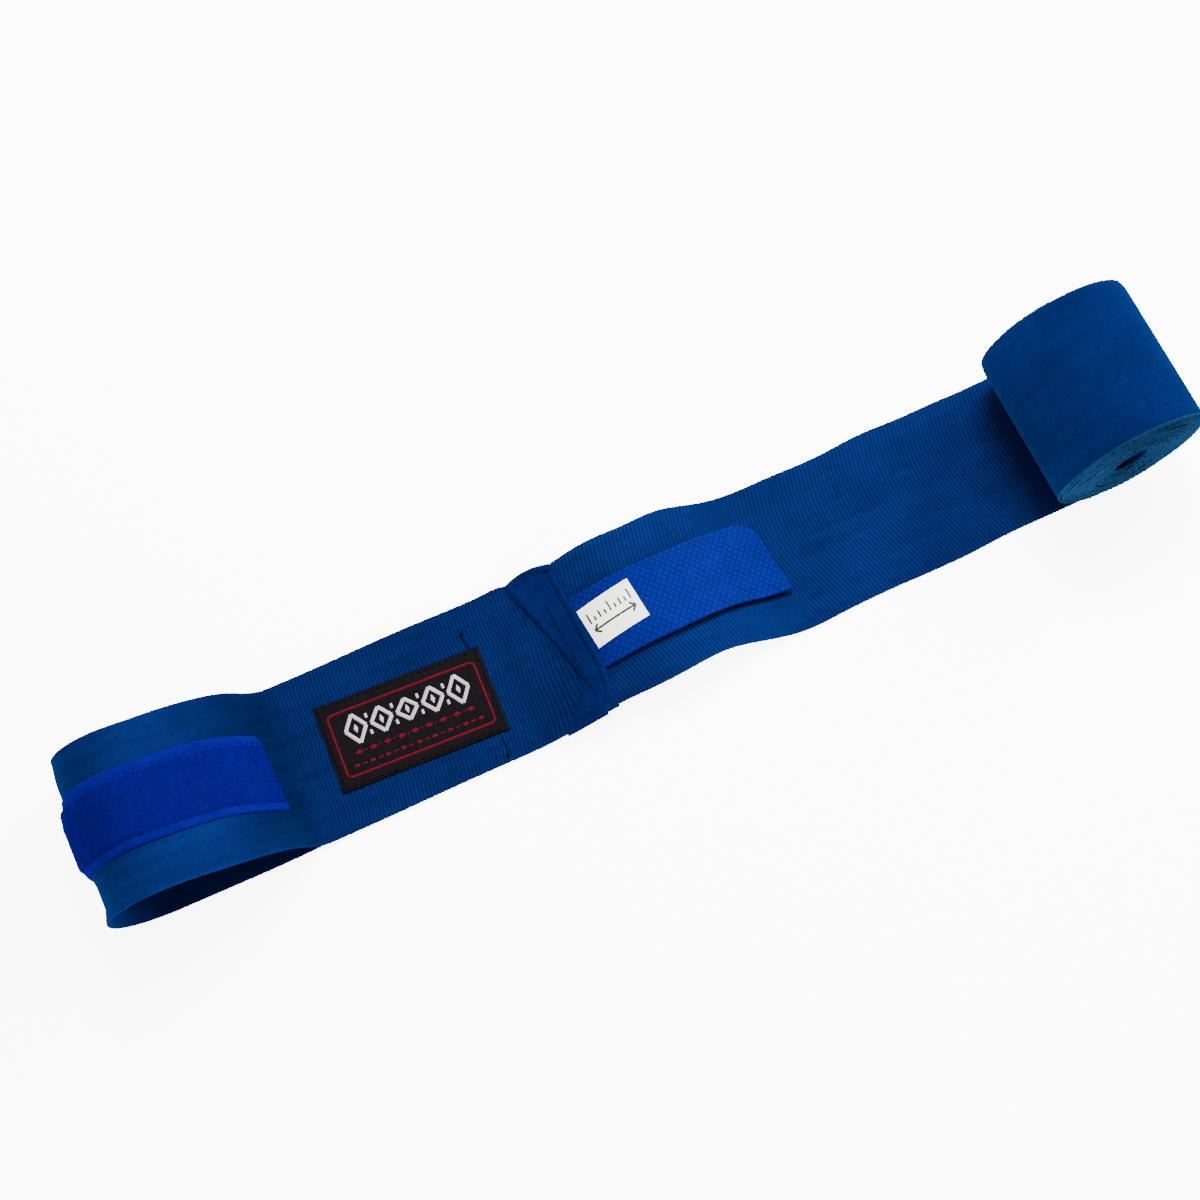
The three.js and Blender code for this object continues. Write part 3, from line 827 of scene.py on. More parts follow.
def spiral_band(
    radius, pitch, turns, half, steps, seed, thickness, ragged, bulge=0.0, shoulder=0.0, settled=0.0
):
    """A band wound inwards from the bottom of the roll, the way the strap comes in along the table.

    steps: rings to a turn. ragged: how far its edges stray. bulge: how much its middle turns stand out.
    shoulder: how far its far edge is drawn in. settled: the turn at which it has come in by one pitch."""
    count = int(turns * steps)
    turn = np.arange(count + 1)[:, None] / steps
    sunk = ease(0, settled, turn) if settled else turn
    middle = radius - pitch * sunk
    angle = 2 * math.pi * turn
    distance = np.cumsum(np.concatenate([[0], (2 * math.pi * middle[:-1, 0] / steps)]))[:, None]
    section = across_section(half, 2.0 if shoulder else 6.0)
    v_round = np.concatenate([section, section[-2:0:-1]])[None, :]
    side = np.concatenate([np.ones(len(section)), -np.ones(len(section) - 2)])[None, :]
    share = thickness_share(v_round, half)
    at_edge = ease(0.8, 1.0, np.abs(v_round) / half)
    far_stray = waves(seed, turn * 31 + distance * 0.02, 9) * 0.5 + waves(seed + 1, distance, 40) * 0.4
    near_stray = waves(seed + 3, turn * 27, 8) * 0.5 + waves(seed + 4, distance, 34) * 0.4
    stray = np.where(v_round > 0, far_stray, near_stray)
    quick = waves(seed + 2, distance, 2.6) * 0.35
    drift = bulge * np.sin(math.pi * turn / turns)
    v = v_round + np.sign(v_round) * (ragged * (stray + quick) + drift) * at_edge
    height = 1 - middle / radius * np.cos(angle)
    v = v + np.where(v_round < 0, NEAR_END_LEAN / 2 * (height - 1), 0.0) * at_edge
    drawn_in = shoulder * ease(half - 4.0, half, v_round) ** 2
    reach = middle + side * share * thickness / 2 - drawn_in
    x = reach * np.sin(angle) + 0 * v
    z = ROLL_RADIUS - reach * np.cos(angle) + 0 * v
    uv = np.stack([np.broadcast_to(distance, v.shape), v + 100 * (side < 0)], -1)
    edge_tag = (np.abs(v_round[0]) > half - 0.6) & (np.abs(np.roll(v_round[0], -1)) > half - 0.6)
    return np.stack([x, v, z], -1), uv, edge_tag.astype(int)


def painted_roll_shade(turn):
    """Painted shade on the outer turn: its cloth is painted darker on the side towards the fold."""
    return 1 - 0.2 * np.exp(-(((turn - 0.77) / 0.1) ** 2))


def wound_cloth(name, node, body, band, tone=1.0):
    """A band of wound cloth with its selvedges, standing for one CAD node."""
    shell = Shell()
    shell.add(*band, tone=tone)
    made = shell.build(name, [ROLL_LOOK, EDGE_LOOK])
    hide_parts(node)
    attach(made, body)


def make_outer_turn():
    """The roll's outer turn, which settles onto the coil before its first half turn is over."""
    steps = 260
    band = spiral_band(
        OUTER_RADIUS, OUTER_PITCH, 1.0, STRAP_WIDTH / 2, steps, 41, 0.55, 0.22, shoulder=0.5, settled=0.45
    )
    turn = np.linspace(0, 1, steps + 1)[:, None]
    # painted shade on the roll's flank towards the fold
    wound_cloth("roll_outer_cloth", "roll_outer_turn", "roll_shell", band, painted_roll_shade(turn))


def make_coil():
    """The turns inside the outer one."""
    turns = (COIL_RADIUS - CORE_RADIUS) / TURN_PITCH
    band = spiral_band(COIL_RADIUS, TURN_PITCH, turns, STRAP_WIDTH / 2, 150, 57, 0.42, 0.6, bulge=1.2)
    wound_cloth("roll_coil_cloth", "roll_coil", "roll_core", band)


def make_thumb_loop():
    """The thumb loop, wound up in the middle of the roll, and the bar tack that sews it on."""
    band = spiral_band(THUMB_RADIUS, THUMB_PITCH, THUMB_TURNS, THUMB_WIDTH / 2, 90, 73, 0.8, 0.3)
    wound_cloth("thumb_loop_cloth", "thumb_loop", "roll_core", band)

    shell = Shell()
    for k in range(TACK_STITCHES):
        y = (k - (TACK_STITCHES - 1) / 2) * TACK_SPACING
        ends = []
        for slant, angle in ((0.0, TACK_FROM), (0.5, TACK_TO)):
            x, z = TACK_RADIUS * math.sin(angle), ROLL_RADIUS - TACK_RADIUS * math.cos(angle)
            ends.append(np.array([x, y + slant, z]))
        outward = ends[0] - np.array([0, ends[0][1], ROLL_RADIUS])
        stitch(shell, ends[0], ends[1], outward / np.linalg.norm(outward), width=0.5, height=0.12)
    tack = shell.build("thumb_loop_bar_tack", [THREAD_LOOK])
    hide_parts("thumb_loop_tack")
    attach(tack, "roll_core")


make_outer_turn()
make_coil()
make_thumb_loop()


# ---- the loop tape round the fold --------------------------------------------------------------

TAPE_FROM = LIFT_OFF + 3.4
TAPE_TO = FOOT - 7.0
PILE_STEP = 0.65


def tape_middle(s):
    """How far the loop tape's middle lies from the strap's: it runs slightly askew round the fold."""
    return 1.1 - 0.4 * ease(340, 362, s) - 2.1 * ease(394, 426, s)


def pile_profile(v):
    """Height of the loop tape above the cloth: thin woven margins, and the pile between them."""
    inside = LOOP_TAPE_WIDTH / 2 - TAPE_MARGIN - np.abs(v)
    return 0.42 + 0.75 * ease(-0.2, 0.9, inside) - 0.16 * np.exp(-((inside / 0.35) ** 2))


def loop_tape_rings(start, end, taper_start, taper_end):
    """Rings of the loop tape between two places along the strap."""
    count = max(6, int((end - start) / PILE_STEP))
    s = np.linspace(start, end, count + 1)[:, None]
    half = LOOP_TAPE_WIDTH / 2
    section = np.linspace(half, -half, 44)
    rounded = 1.3 * taper_end * ease(TAPE_TO - 3, TAPE_TO, s) ** 2
    v = section[None, :] - rounded * np.clip(section, 0, None)[None, :] / half
    edge = np.sqrt(np.clip(1 - (np.abs(section) / half) ** 16, 0, 1))[None, :]
    rise = pile_profile(section)[None, :] * edge
    inside = ease(0.3, 1.0, half - TAPE_MARGIN - np.abs(section))[None, :]
    chance = np.random.default_rng(int(start * 10))
    curl = chance.normal(0, 1, (count + 1, len(section)))
    curl[0], curl[-1] = 0, 0
    rise = rise + 0.11 * curl * inside
    ends = np.ones_like(s)
    if taper_start:
        ends = ends * ease(TAPE_FROM - 0.2, TAPE_FROM + 1.4, s)
    if taper_end:
        ends = ends * (1 - ease(TAPE_TO - 2.2, TAPE_TO + 0.1, s))
    top = strap_surface(s, tape_middle(s) + v, CLOTH / 2 + np.maximum(rise * ends, 0.03))
    below = strap_surface(s, tape_middle(s) + v[:, -2:0:-1], np.full_like(v[:, -2:0:-1], CLOTH / 2 - 0.16))
    rings = np.concatenate([top, below], 1)
    flat = np.concatenate([v, v[:, -2:0:-1]], 1)
    uv = np.stack([np.broadcast_to(s, flat.shape), flat], -1)
    tag = (np.abs(np.concatenate([section, section[-2:0:-1]])) < half - TAPE_MARGIN).astype(int)
    tag[len(section) - 1 :] = 0
    return rings, uv, tag


def strap_outside(s, v, lift=CLOTH / 2):
    """A point on the strap's outer face, and its normal."""
    _, _, out_x, out_z = STRAP.at(s)
    return strap_surface(s, v, lift), np.array([float(out_x), 0.0, float(out_z)])


def make_loop_tape():
    """The loop tape and its two rows of stitches, cut where the strap is cut."""
    spans = [(row_place(first), row_place(last)) for first, last, *_ in FOLD_PIECES]
    for k, ((first, last, before, after, start, end), span) in enumerate(zip(FOLD_PIECES, spans)):
        low, high = max(span[0], TAPE_FROM), min(span[1], TAPE_TO)
        shell = Shell()
        shell.add(*loop_tape_rings(low, high, k == 0, k == len(spans) - 1))
        tape = shell.build(f"loop_tape_pile_{k + 1}", [TAPE_LOOK, PILE_LOOK])
        nodes = {7: ["loop_tape_end"]}.get(k, [f"loop_tape_{k}"] if 0 < k < 7 else [])
        if nodes:
            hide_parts(*nodes)
        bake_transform(tape)
        shell = Shell()
        lift = CLOTH / 2 + 0.36
        for side in (1, -1):
            v = side * (LOOP_TAPE_WIDTH / 2 - TAPE_MARGIN + 0.1)
            surface = lambda s, across: strap_outside(s, across + tape_middle(s), lift)
            stitch_line(shell, surface, [(low + 0.3, v), (high - 0.3, v)], length=1.9, gap=0.5)
        if shell.points:
            seam = shell.build(f"loop_tape_seam_{k + 1}", [TAPE_THREAD_LOOK])
            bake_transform(seam)


make_loop_tape()


# ---- the hook tape and its sticker -------------------------------------------------------------

TAPE_BACK = -190.0
TIP_NEAR, TIP_FAR, TIP_ROUND = -107.2, -109.6, 6.0
HOOK_INSET = 1.5
HOOKS_FROM, HOOK_PITCH = -168.0, 1.55


def tab_far(x):
    """y of the tape's far edge."""
    return 14.3 + 0.7 * ease(-145, -130, x) - 0.6 * ease(-124, -108, x)


def tab_near(x):
    """y of the tape's near edge."""
    return -10.2 + 0.6 * ease(-151, -128, x) - 2.0 * ease(-130, -106, x)


def tab_tip(share):
    """Where the tape ends in x, at a share from its near (0) to its far (1) edge."""
    line = TIP_NEAR + (TIP_FAR - TIP_NEAR) * share
    past = np.clip(share * TAB_WIDTH - (TAB_WIDTH - TIP_ROUND), 0, TIP_ROUND)
    return line - (TIP_ROUND - np.sqrt(TIP_ROUND**2 - past**2))


def tab_lift(x, share):
    """How far the tape's near side and tip curl up."""
    near = 0.4 * (1 - ease(0.0, 0.4, share)) * ease(-168, -138, x)
    tip = 0.5 * ease(-118, -107, x)
    return near + tip


def tape_spot(along, share):
    """x, y and z of the tape's middle at shares along it (0 at its sewn end) and across it."""
    tip = tab_tip(share)
    x = TAPE_BACK + (tip - TAPE_BACK) * along
    y = tab_near(x) + (tab_far(x) - tab_near(x)) * share
    return x, y, tape_height(x) + tab_lift(x, share)


def tape_point(x, share, lift):
    """A point on the tape at this x, lift above its middle."""
    along = (x - TAPE_BACK) / (tab_tip(share) - TAPE_BACK)
    px, py, pz = tape_spot(along, share)
    slope = tape_height(x + 0.5) - tape_height(x - 0.5)
    up = np.array([-float(slope), 0.0, 1.0])
    up = up / np.linalg.norm(up)
    return np.array([float(px), float(py), float(pz)]) + up * lift, up


def diamonds(x, v):
    """Height of the small embossed diamonds on the hook tape's back, from 0 to 1."""
    turn = 2 * math.pi / DIAMOND_PITCH
    one_way = 0.5 + 0.5 * np.cos(turn * (x + DIAMOND_LEAN * v))
    other_way = 0.5 + 0.5 * np.cos(turn * (x - DIAMOND_LEAN * v))
    return one_way * other_way


def make_hook_tape():
    """The hook tape, from its sewn end under the hem to its free tip, with hooks below."""
    columns, rows = 96, 270
    share = np.linspace(1, 0, columns)
    along = np.linspace(0, 1, rows + 1)[:, None]
    x, y, z = tape_spot(along, share[None, :])
    from_edge = np.minimum(share, 1 - share)[None, :] * TAB_WIDTH
    from_tip = tab_tip(share)[None, :] - x
    from_rim = np.minimum(np.minimum(from_edge, from_tip), (x - TAPE_BACK) + 0.4)
    round_off = np.sqrt(np.clip(1 - (1 - np.clip(from_rim / 0.35, 0, 1)) ** 2, 0, 1))
    field = ease(1.7, 2.5, from_edge) * ease(1.0, 2.0, from_tip)
    worn = 0.55 + 0.45 * waves(31, x + y * 0.6, 17)
    emboss = 0.16 * diamonds(x, y) * field * np.clip(worn, 0.4, 1)
    selvedge = 0.07 * np.exp(-(((from_edge - 0.55) / 0.4) ** 2))
    half = HOOK_TAPE / 2 - 0.12
    top = np.stack([x, y, z + half * round_off + (emboss + selvedge) * round_off], -1)
    under = np.stack([x, y, z - half * round_off], -1)[:, -2:0:-1]
    rings = np.concatenate([top, under], 1)
    flat = np.concatenate([y, y[:, -2:0:-1]], 1)
    places = np.concatenate([x, x[:, -2:0:-1]], 1)
    shell = Shell()
    shell.add(rings, np.stack([places, flat], -1))
    tape = shell.build("hook_tape_back", [HOOK_LOOK])
    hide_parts("hook_tape_sewn_end", "hook_tape_tab")
    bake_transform(tape)

    shell = Shell()
    for x in np.arange(HOOKS_FROM, TIP_NEAR - 2, HOOK_PITCH):
        for k, v in enumerate(np.arange(HOOK_INSET + 0.6, TAB_WIDTH - HOOK_INSET - 0.4, HOOK_PITCH)):
            across = v / TAB_WIDTH
            if x > tab_tip(across) - HOOK_INSET:
                continue
            add_hook(shell, x + (k % 2) * HOOK_PITCH / 2, across)
    hooks = shell.build("hook_tape_hooks", [HOOK_LOOK])
    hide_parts("hook_field")
    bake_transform(hooks)


def add_hook(shell, x, across):
    """One nylon hook on the tape's underside."""
    base, up = tape_point(x, across, -HOOK_TAPE / 2 + 0.12)
    radius = 0.09
    route = [(0, 0), (0, -0.4), (0.08, -0.62), (0.3, -0.74), (0.5, -0.62), (0.55, -0.48)]
    quarters = np.arange(4) * math.pi / 2
    rings = []
    for k, (out, down) in enumerate(route):
        middle = base + np.array([0, out, 0]) + up * down
        size = radius * (1.25 if k == 0 else 1.0 if k < 5 else 0.5)
        lean = k / 5 * math.pi * 0.75
        axis_a = np.array([1.0, 0, 0])
        axis_b = np.array([0, math.cos(lean), math.sin(lean)])
        rings.append([middle + size * (axis_a * math.cos(t) + axis_b * math.sin(t)) for t in quarters])
    shell.add(rings, np.zeros((len(route), 4, 2)))


make_hook_tape()

STICKER = node_centre("size_sticker") + np.array([0.0, 0.6, 0.0])
STICKER_LONG, STICKER_WIDE, STICKER_TURN = 17.5, 13.5, math.radians(5)


def sticker_spot(a, b, lift=0.0):
    """A point on the sticker, a along it and b across it from its middle, and its normal."""
    x = STICKER[0] + a * math.cos(STICKER_TURN) - b * math.sin(STICKER_TURN)
    y = STICKER[1] + a * math.sin(STICKER_TURN) + b * math.cos(STICKER_TURN)
    share = np.clip((y - tab_near(x)) / (tab_far(x) - tab_near(x)), 0, 1)
    corner = max(0.0, abs(a) / STICKER_LONG * 2 + abs(b) / STICKER_WIDE * 2 - 1.6)
    point, up = tape_point(x, share, HOOK_TAPE / 2 + 0.1 + lift + 0.5 * corner * (a > 0))
    point[1] = y
    return point, up


def make_sticker():
    """The paper sticker, and a printed length mark on it in place of the photo's lettering."""
    rows, columns = 36, 14
    a_values = np.linspace(-STICKER_LONG / 2, STICKER_LONG / 2, rows)
    b_values = np.linspace(STICKER_WIDE / 2, -STICKER_WIDE / 2, columns)
    thick = 0.14
    rings, uv = [], []
    for a in a_values:
        top = [sticker_spot(a, b, thick)[0] for b in b_values]
        under = [sticker_spot(a, b, -0.02)[0] for b in b_values[::-1]]
        rings.append(top + under)
        uv.append([(a, b) for b in b_values] + [(a, b) for b in b_values[::-1]])
    shell = Shell()
    shell.add(rings, uv)
    paper = shell.build("size_sticker_paper", [PAPER_LOOK])
    paper.data.polygons.foreach_set("use_smooth", [False] * len(paper.data.polygons))
    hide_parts("size_sticker")
    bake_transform(paper)

    shell = Shell()
    surface = lambda a, b: sticker_spot(a, b, thick)
    ink = dict(height=0.05, pitch=0.8)
    satin(shell, surface, [(-6.8, -1.6), (6.8, -1.6)], 0.75, **ink)
    for side in (-1, 1):
        for slant in (-1, 1):
            satin(shell, surface, [(side * 7.0, -1.6), (side * 5.4, -1.6 + slant * 1.5)], 0.75, **ink)
    for k in range(9):
        tall = 3.4 if k % 4 == 0 else 2.4 if k % 2 == 0 else 1.6
        satin(shell, surface, [(-6.8 + 1.7 * k, 0.8), (-6.8 + 1.7 * k, 0.8 + tall)], 0.6, **ink)
    print_mark = shell.build("size_sticker_print", [INK_LOOK])
    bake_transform(print_mark)


make_sticker()


# ---- the label ---------------------------------------------------------------------------------

LABEL = node_centre("woven_label") + np.array([0.2, 0.85, 0.0])
LABEL_LONG, LABEL_WIDE, LABEL_TURN = 53.8, 28.2, math.radians(-3.9)
LABEL_THICK = 0.5


def flap_spot(x, v, lift):
    """A point above the flap's top face at this x, v millimetres from its middle, and its normal."""
    slope = float(flap_height(x + 0.5) - flap_height(x - 0.5))
    up = np.array([-slope, 0.0, 1.0]) / math.hypot(slope, 1)
    middle = np.array([x, sideways(x) + v, flap_height(x) + CLOTH / 2 + hem_lift(x, v)])
    return middle + up * lift, up


def label_lift(a, b):
    """Height of the label above the cloth: its sides are turned under, and its corners stand up."""
    side = LABEL_WIDE / 2 - abs(b)
    turned = 0.14 * (1 - float(ease(3.2, 3.9, side)))
    corner = max(0.0, abs(a) / LABEL_LONG * 2 + abs(b) / LABEL_WIDE * 2 - 1.75)
    soft = 0.07 * math.sin(a * 0.42) * math.sin(b * 0.35 + 1)
    return LABEL_THICK - 0.15 + turned + 0.5 * corner + soft


def label_spot(a, b, lift=None):
    """A point on the label, a along it and b across it from its middle, and its normal."""
    x = LABEL[0] + a * math.cos(LABEL_TURN) - b * math.sin(LABEL_TURN)
    y = LABEL[1] + a * math.sin(LABEL_TURN) + b * math.cos(LABEL_TURN)
    point, up = flap_spot(x, 0.0, label_lift(a, b) if lift is None else lift)
    point[1] = y
    return point, up


def make_label():
    """The black woven label."""
    a_values = np.linspace(-LABEL_LONG / 2, LABEL_LONG / 2, 72)
    b_values = np.linspace(1, -1, 44) * LABEL_WIDE / 2
    rings, uv = [], []
    for a in a_values:
        end = min(1.0, math.sqrt(max(0.0, 1 - (1 - min(1.0, (LABEL_LONG / 2 - abs(a)) / 0.5)) ** 2)))
        top, under = [], []
        for b in b_values:
            ragged = 0.1 * math.sin(a * 3.1) * (abs(b) > LABEL_WIDE / 2 - 0.4)
            edge = math.sqrt(max(0.0, 1 - (abs(b) / (LABEL_WIDE / 2)) ** 40))
            height = 0.05 + (label_lift(a, b) - 0.05) * edge * end
            top.append(label_spot(a, b + ragged, height)[0])
            under.append(label_spot(a, b, -0.05)[0])
        rings.append(top + under[-2:0:-1])
        uv.append([(a, b) for b in b_values] + [(a, b) for b in b_values[-2:0:-1]])
    shell = Shell()
    shell.add(rings, uv)
    label = shell.build("label_cloth", [LABEL_LOOK])
    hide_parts("woven_label")
    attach(label, "flap")


def round_rectangle(half_a, half_b, corner, steps=6):
    """The outline of a rectangle with round corners."""
    points = []
    for k, (side_a, side_b) in enumerate(((1, 1), (-1, 1), (-1, -1), (1, -1))):
        for t in np.linspace(0, math.pi / 2, steps + 1) + k * math.pi / 2:
            middle = (side_a * (half_a - corner), side_b * (half_b - corner))
            points.append((middle[0] + corner * math.cos(t), middle[1] + corner * math.sin(t)))
    points.append(points[0])
    dense = []
    for start, end in zip(points, points[1:]):
        count = max(1, int(math.dist(start, end) / 0.8))
        leg = np.array(end) - np.array(start)
        dense += [tuple(np.array(start) + leg * k / count) for k in range(count)]
    return dense


def make_label_pattern():
    """The woven red frame, a band of white lozenges and two rows of small red marks."""
    shell = Shell()
    frame_a, frame_b = LABEL_LONG / 2 - 3.1, LABEL_WIDE / 2 - 4.0
    satin(shell, label_spot, round_rectangle(frame_a, frame_b, 1.6), 0.75, height=0.22, closed=True)
    red = shell.build("label_red_frame", [RED_LOOK])
    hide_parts("label_frame")
    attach(red, "flap")

    shell = Shell()
    band_b, tall = 3.6, 4.6
    for k in range(5):
        a = (k - 2) * 8.3
        size = tall * (1.0, 0.86, 0.74, 0.86, 1.0)[k]
        ring = [(a + 3.3, band_b), (a, band_b + size), (a - 3.3, band_b), (a, band_b - size)]
        for start, end in zip(ring, ring[1:] + ring[:1]):
            satin(shell, label_spot, [start, end], 1.25, height=0.3)
        satin(shell, label_spot, [(a, band_b - 1.3), (a, band_b + 1.3)], 1.5, height=0.3, taper=0.8)
        if k:
            joint = a - 4.15
            for side in (-1, 1):
                dash = [(joint, band_b + side * 2.0), (joint, band_b + side * 3.4)]
                satin(shell, label_spot, dash, 0.9, height=0.3)
    white = shell.build("label_white_pattern", [WHITE_LOOK])
    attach(white, "flap")

    shell = Shell()
    for k in range(9):
        a = -18.0 + k * 4.5
        satin(shell, label_spot, [(a - 1.3, -3.6), (a + 1.3, -3.6)], 1.7, height=0.22, taper=0.9)
        if k:
            satin(shell, label_spot, [(a - 2.5, -3.6), (a - 2.0, -3.6)], 0.6, height=0.22)
    for k in range(17):
        a = -20.0 + k * 2.5
        satin(shell, label_spot, [(a - 0.75, -7.4), (a + 0.75, -7.4)], (0.95, 0.5)[k % 2], height=0.18)
    marks = shell.build("label_red_marks", [RED_LOOK])
    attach(marks, "flap")


def make_label_seams():
    """The stitches round the label and the thread ends that run on past it."""
    shell = Shell()
    inset = 1.1
    half_a, half_b = LABEL_LONG / 2 - inset, LABEL_WIDE / 2 - inset
    corners = [(half_a, half_b), (-half_a, half_b), (-half_a, -half_b), (half_a, -half_b), (half_a, half_b)]
    for start, end in zip(corners, corners[1:]):
        stitch_line(shell, label_spot, [start, end], length=1.7, gap=0.5, width=0.3, height=0.13)
    seam = shell.build("label_stitches", [BLACK_THREAD_LOOK])
    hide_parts("label_seam")
    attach(seam, "flap")
    sixths = [k * math.pi / 3 for k in range(6)]
    for name, side, start, end in (
        ("thread_end_far", 1, (-206.7, 14.4), (-206.3, 20.4)),
        ("thread_end_near", -1, (-208.9, -14.6), (-209.6, -21.5)),
    ):
        shell = Shell()
        path = np.array([start, end])
        places = np.linspace(0, 1, 15)
        rings = []
        for t in places:
            x, y = path[0] + (path[1] - path[0]) * t
            sway = 0.35 * math.sin(t * 5 + side)
            knot = 0.35 * math.exp(-(((t - 0.93) / 0.06) ** 2))
            radius = 0.15 + knot
            middle, up = flap_spot(x + sway, y - sideways(x), 0.12 + knot * 0.5)
            spokes = [np.array([math.cos(turn), 0, 0]) + up * math.sin(turn) for turn in sixths]
            rings.append([middle + radius * spoke for spoke in spokes])
        uv = np.stack(np.meshgrid(places * 6, np.arange(6) / 6, indexing="ij"), -1)
        shell.add(rings, uv)
        thread = shell.build(f"{name}_yarn", [BLACK_THREAD_LOOK])
        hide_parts(name)
        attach(thread, "flap")


make_label()
make_label_pattern()
make_label_seams()


# ---- the hem -----------------------------------------------------------------------------------

HEM_LINE = [(27.6, -188.2), (24.6, -188.7), (0.0, -182.1), (-10.0, -180.4), (-14.5, -179.6)]
HEM_LINE += [(-24.0, -189.6), (-26.6, -191.0)]
HEM_END = [(27.6, -174.4), (25.5, -173.3), (-13.0, -171.9), (-20.0, -173.6), (-26.6, -177.4)]
HEM_RISE = 1.0
HEM_WEAVE_TURN = math.radians(28)


def along_edge(edge, v):
    """x on one of the hem's edges, v millimetres from the strap's middle."""
    return np.interp(v, [p[0] for p in edge[::-1]], [p[1] for p in edge[::-1]])


def hem_far(x):
    """v of the hem's far edge, which arches over the strap's."""
    return 26.2 - 0.03 * (x + 181.5) ** 2


def hem_height(x, v):
    """Height of the turned-up hem above the flap's top face."""
    left, right = along_edge(HEM_LINE, v), along_edge(HEM_END, v)
    near_corner = ease(-13.0, -17.0, v)
    from_far = hem_far(x) - v
    step = HEM_RISE * ease(0.0, 1.1, x - left) * (1 - 0.6 * near_corner)
    end = np.sqrt(np.clip(1 - (1 - np.clip((right - x) / 0.8, 0, 1)) ** 2, 0, 1))
    lip = 0.5 * np.exp(-(((from_far - 1.1) / 0.8) ** 2)) - 0.45 * np.exp(-(((from_far - 2.9) / 0.45) ** 2))
    seam = -0.3 * np.exp(-(((x - right + 1.9) / 0.45) ** 2))
    pleat = 0.22 * np.exp(-(((x + 178.4 + 0.03 * v) / 0.7) ** 2)) * ease(16, 10, v)
    pillow = 0.2 * waves(61, x + v * 0.7, 11)
    near_seam = -0.3 * np.exp(-(((v + 23.6) / 0.4) ** 2)) * ease(-186, -183, x)
    nub = 0.5 * np.exp(-(((x + 178) / 1.4) ** 2) - ((v + 25.4) / 1.0) ** 2)
    sides = np.sqrt(np.clip(from_far / 0.6, 0, 1)) * np.sqrt(np.clip((v + 26.75) / 0.6, 0, 1))
    return (step + (lip + seam + pleat + pillow + near_seam + nub) * ease(0.5, 2.0, x - left)) * end * sides


def make_hem():
    """The turned-up end of the strap, with its tucked corners and its seams."""
    cos_turn, sin_turn = math.cos(HEM_WEAVE_TURN), math.sin(HEM_WEAVE_TURN)
    far, middle, near = np.linspace(27.3, 22, 16), np.linspace(21.4, -21.4, 56), np.linspace(-22, -26.7, 14)
    v_values = np.concatenate([far, middle, near])
    left_end, right_end = np.linspace(0, 0.12, 5), np.linspace(0.87, 1, 12)
    shares = np.concatenate([left_end, np.linspace(0.16, 0.84, 30), right_end])
    rings, uv = [], []
    for v in v_values:
        left, right = float(along_edge(HEM_LINE, v)), float(along_edge(HEM_END, v))
        top, under, flat = [], [], []
        for share in shares:
            x = left + (right - left) * share
            across = v if v < 0 else v * float(hem_far(x)) / v_values[0]
            height = float(hem_height(x, across))
            top.append(flap_spot(x, across, max(height, 0.02))[0])
            under.append(flap_spot(x, across, -0.25)[0])
            flat.append((x * cos_turn + across * sin_turn, across * cos_turn - x * sin_turn))
        rings.append(top + under[-2:0:-1])
        uv.append(flat + flat[-2:0:-1])
    shell = Shell()
    shell.add(rings, uv, tone=0.9)
    hem = shell.build("hem_cloth", [HEM_LOOK])
    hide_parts("hem_fold")
    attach(hem, "flap")

    on_hem = lambda x, v: flap_spot(x, v, float(hem_height(x, v)))
    shell = Shell()
    path = [(float(along_edge(HEM_END, v)) - 1.9, v) for v in np.linspace(23.5, -19.5, 30)]
    stitch_line(shell, on_hem, path, length=2.1, gap=0.5, width=0.36)
    seam = shell.build("hem_stitches", [THREAD_LOOK])
    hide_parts("hem_seam")
    shell = Shell()
    near_path = [(-187.5, -23.6), (-179.0, -24.0)]
    stitch_line(shell, on_hem, near_path, length=1.8, gap=0.5, width=0.34)
    pleat_path = [(-179.2, 13.0), (-178.1, -8.0), (-177.9, -21.0)]
    stitch_line(shell, on_hem, pleat_path, length=2.0, gap=0.6, width=0.34)
    corner = shell.build("hem_corner_stitches", [THREAD_LOOK])
    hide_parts("corner_seam")
    for made in (seam, corner):
        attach(made, "flap")


make_hem()


# ---- light, floor and camera -------------------------------------------------------------------


FLOOR_REACH = 3000.0


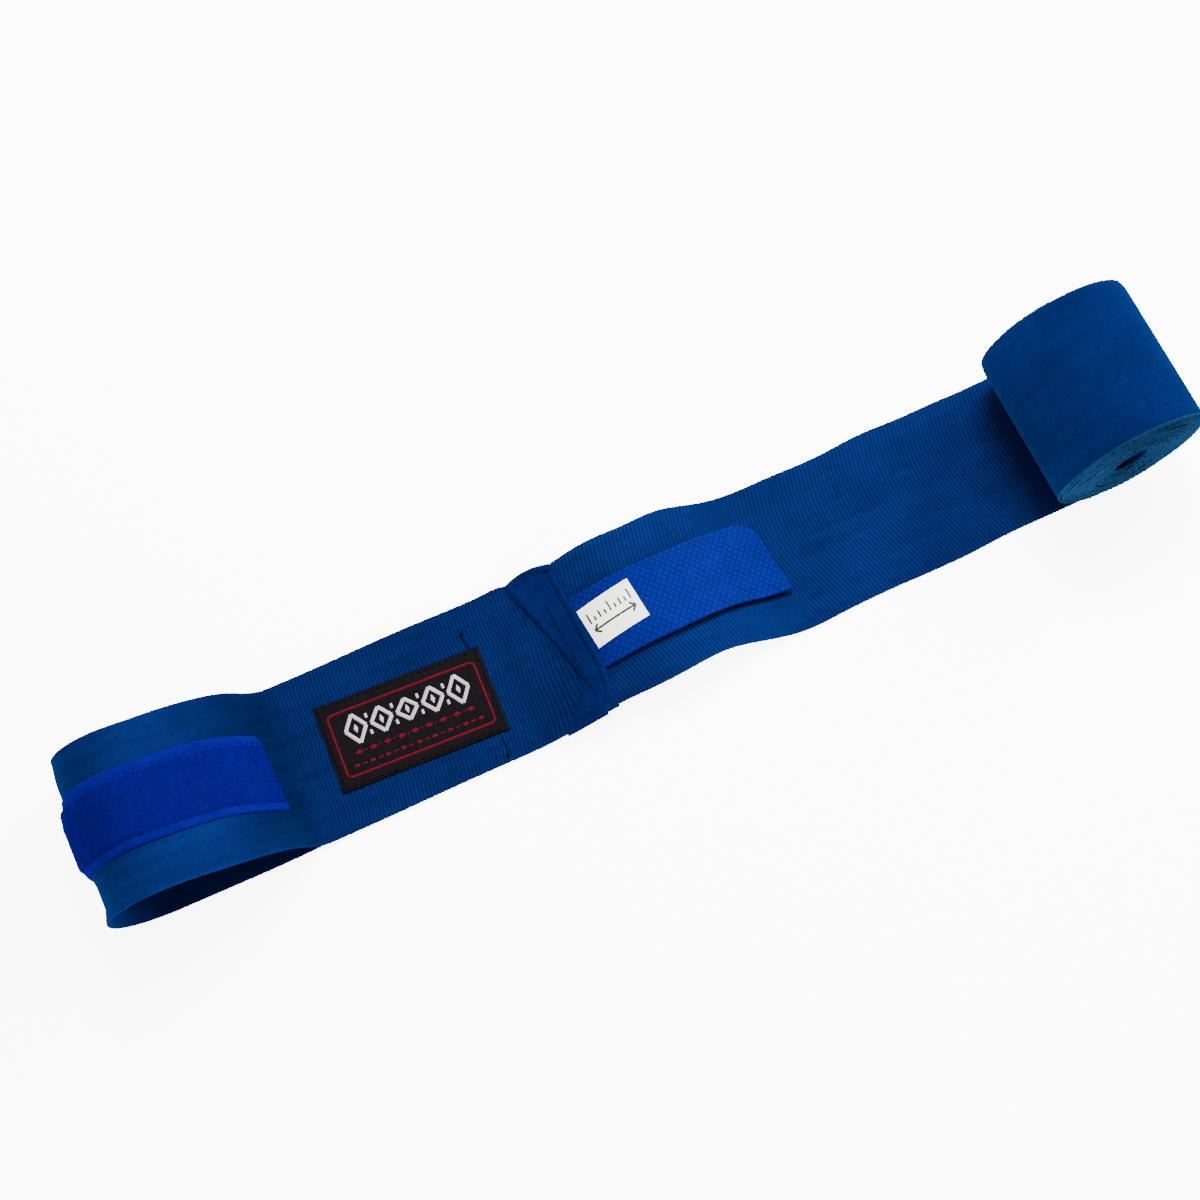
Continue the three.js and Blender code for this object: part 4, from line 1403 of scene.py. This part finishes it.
def make_floor():
    """A plain white floor under the wrap, glowing so that it shows as evenly white."""
    recipe = Recipe("floor_white")
    recipe.set(Base_Color=(0.9, 0.9, 0.9), Roughness=0.9, Specular_IOR_Level=0.0)
    recipe.set(Emission_Color=(1.0, 1.0, 1.0), Emission_Strength=7.5)
    far = FLOOR_REACH
    corners = [(-far, -far, 0), (far, -far, 0), (far, far, 0), (-far, far, 0)]
    floor = mesh_object("floor", corners, [(0, 1, 2, 3)])
    floor.data.materials.append(recipe.material)


def area_light(name, place, target, size, power):
    """A soft square light at a place, aimed at a target, both in millimetres."""
    data = bpy.data.lights.new(name, "AREA")
    data.shape, data.size, data.energy = "SQUARE", size * MM, power
    lamp = bpy.data.objects.new(name, data)
    lamp.location = row_point(place)
    aim = Vector(row_point(target)) - lamp.location
    lamp.rotation_euler = aim.to_track_quat("-Z", "Y").to_euler()
    bpy.context.scene.collection.objects.link(lamp)


def make_lights():
    """Soft studio light from above, the far side and the right, a low one for the inside of the fold,
    and an even white surround."""
    middle = (-150, 0, 0)
    area_light("key", (60, 480, 850), middle, 420, 31)
    area_light("side", (650, 250, 520), middle, 600, 20)
    area_light("fill", (-500, 200, 1000), middle, 700, 6)
    area_light("near", (-300, -620, 170), (-290, 0, 5), 300, 5)
    world = bpy.data.worlds.new("studio")
    world.use_nodes = True
    world.node_tree.nodes["Background"].inputs["Color"].default_value = (1, 1, 1, 1)
    world.node_tree.nodes["Background"].inputs["Strength"].default_value = 0.5
    bpy.context.scene.world = world


def make_camera():
    """A camera above the near side, turned as in the photograph."""
    data = bpy.data.cameras.new("camera")
    data.lens, data.sensor_width = 54.36, 36.0
    data.clip_start, data.clip_end = 0.01, 20
    camera = bpy.data.objects.new("camera", data)
    back = Vector((-0.14186, -0.24190, 0.95988)).normalized()
    right = Vector((0.89845, -0.43851, 0.02227))
    up = back.cross(right).normalized()
    right = up.cross(back)
    turn = Matrix((right, up, back)).transposed()
    camera.matrix_world = Matrix.Translation(row_point((-243.056, -125.079, 543.193))) @ turn.to_4x4()
    bpy.context.scene.collection.objects.link(camera)
    bpy.context.scene.camera = camera


make_floor()
make_lights()
make_camera()

bpy.context.view_layer.update()
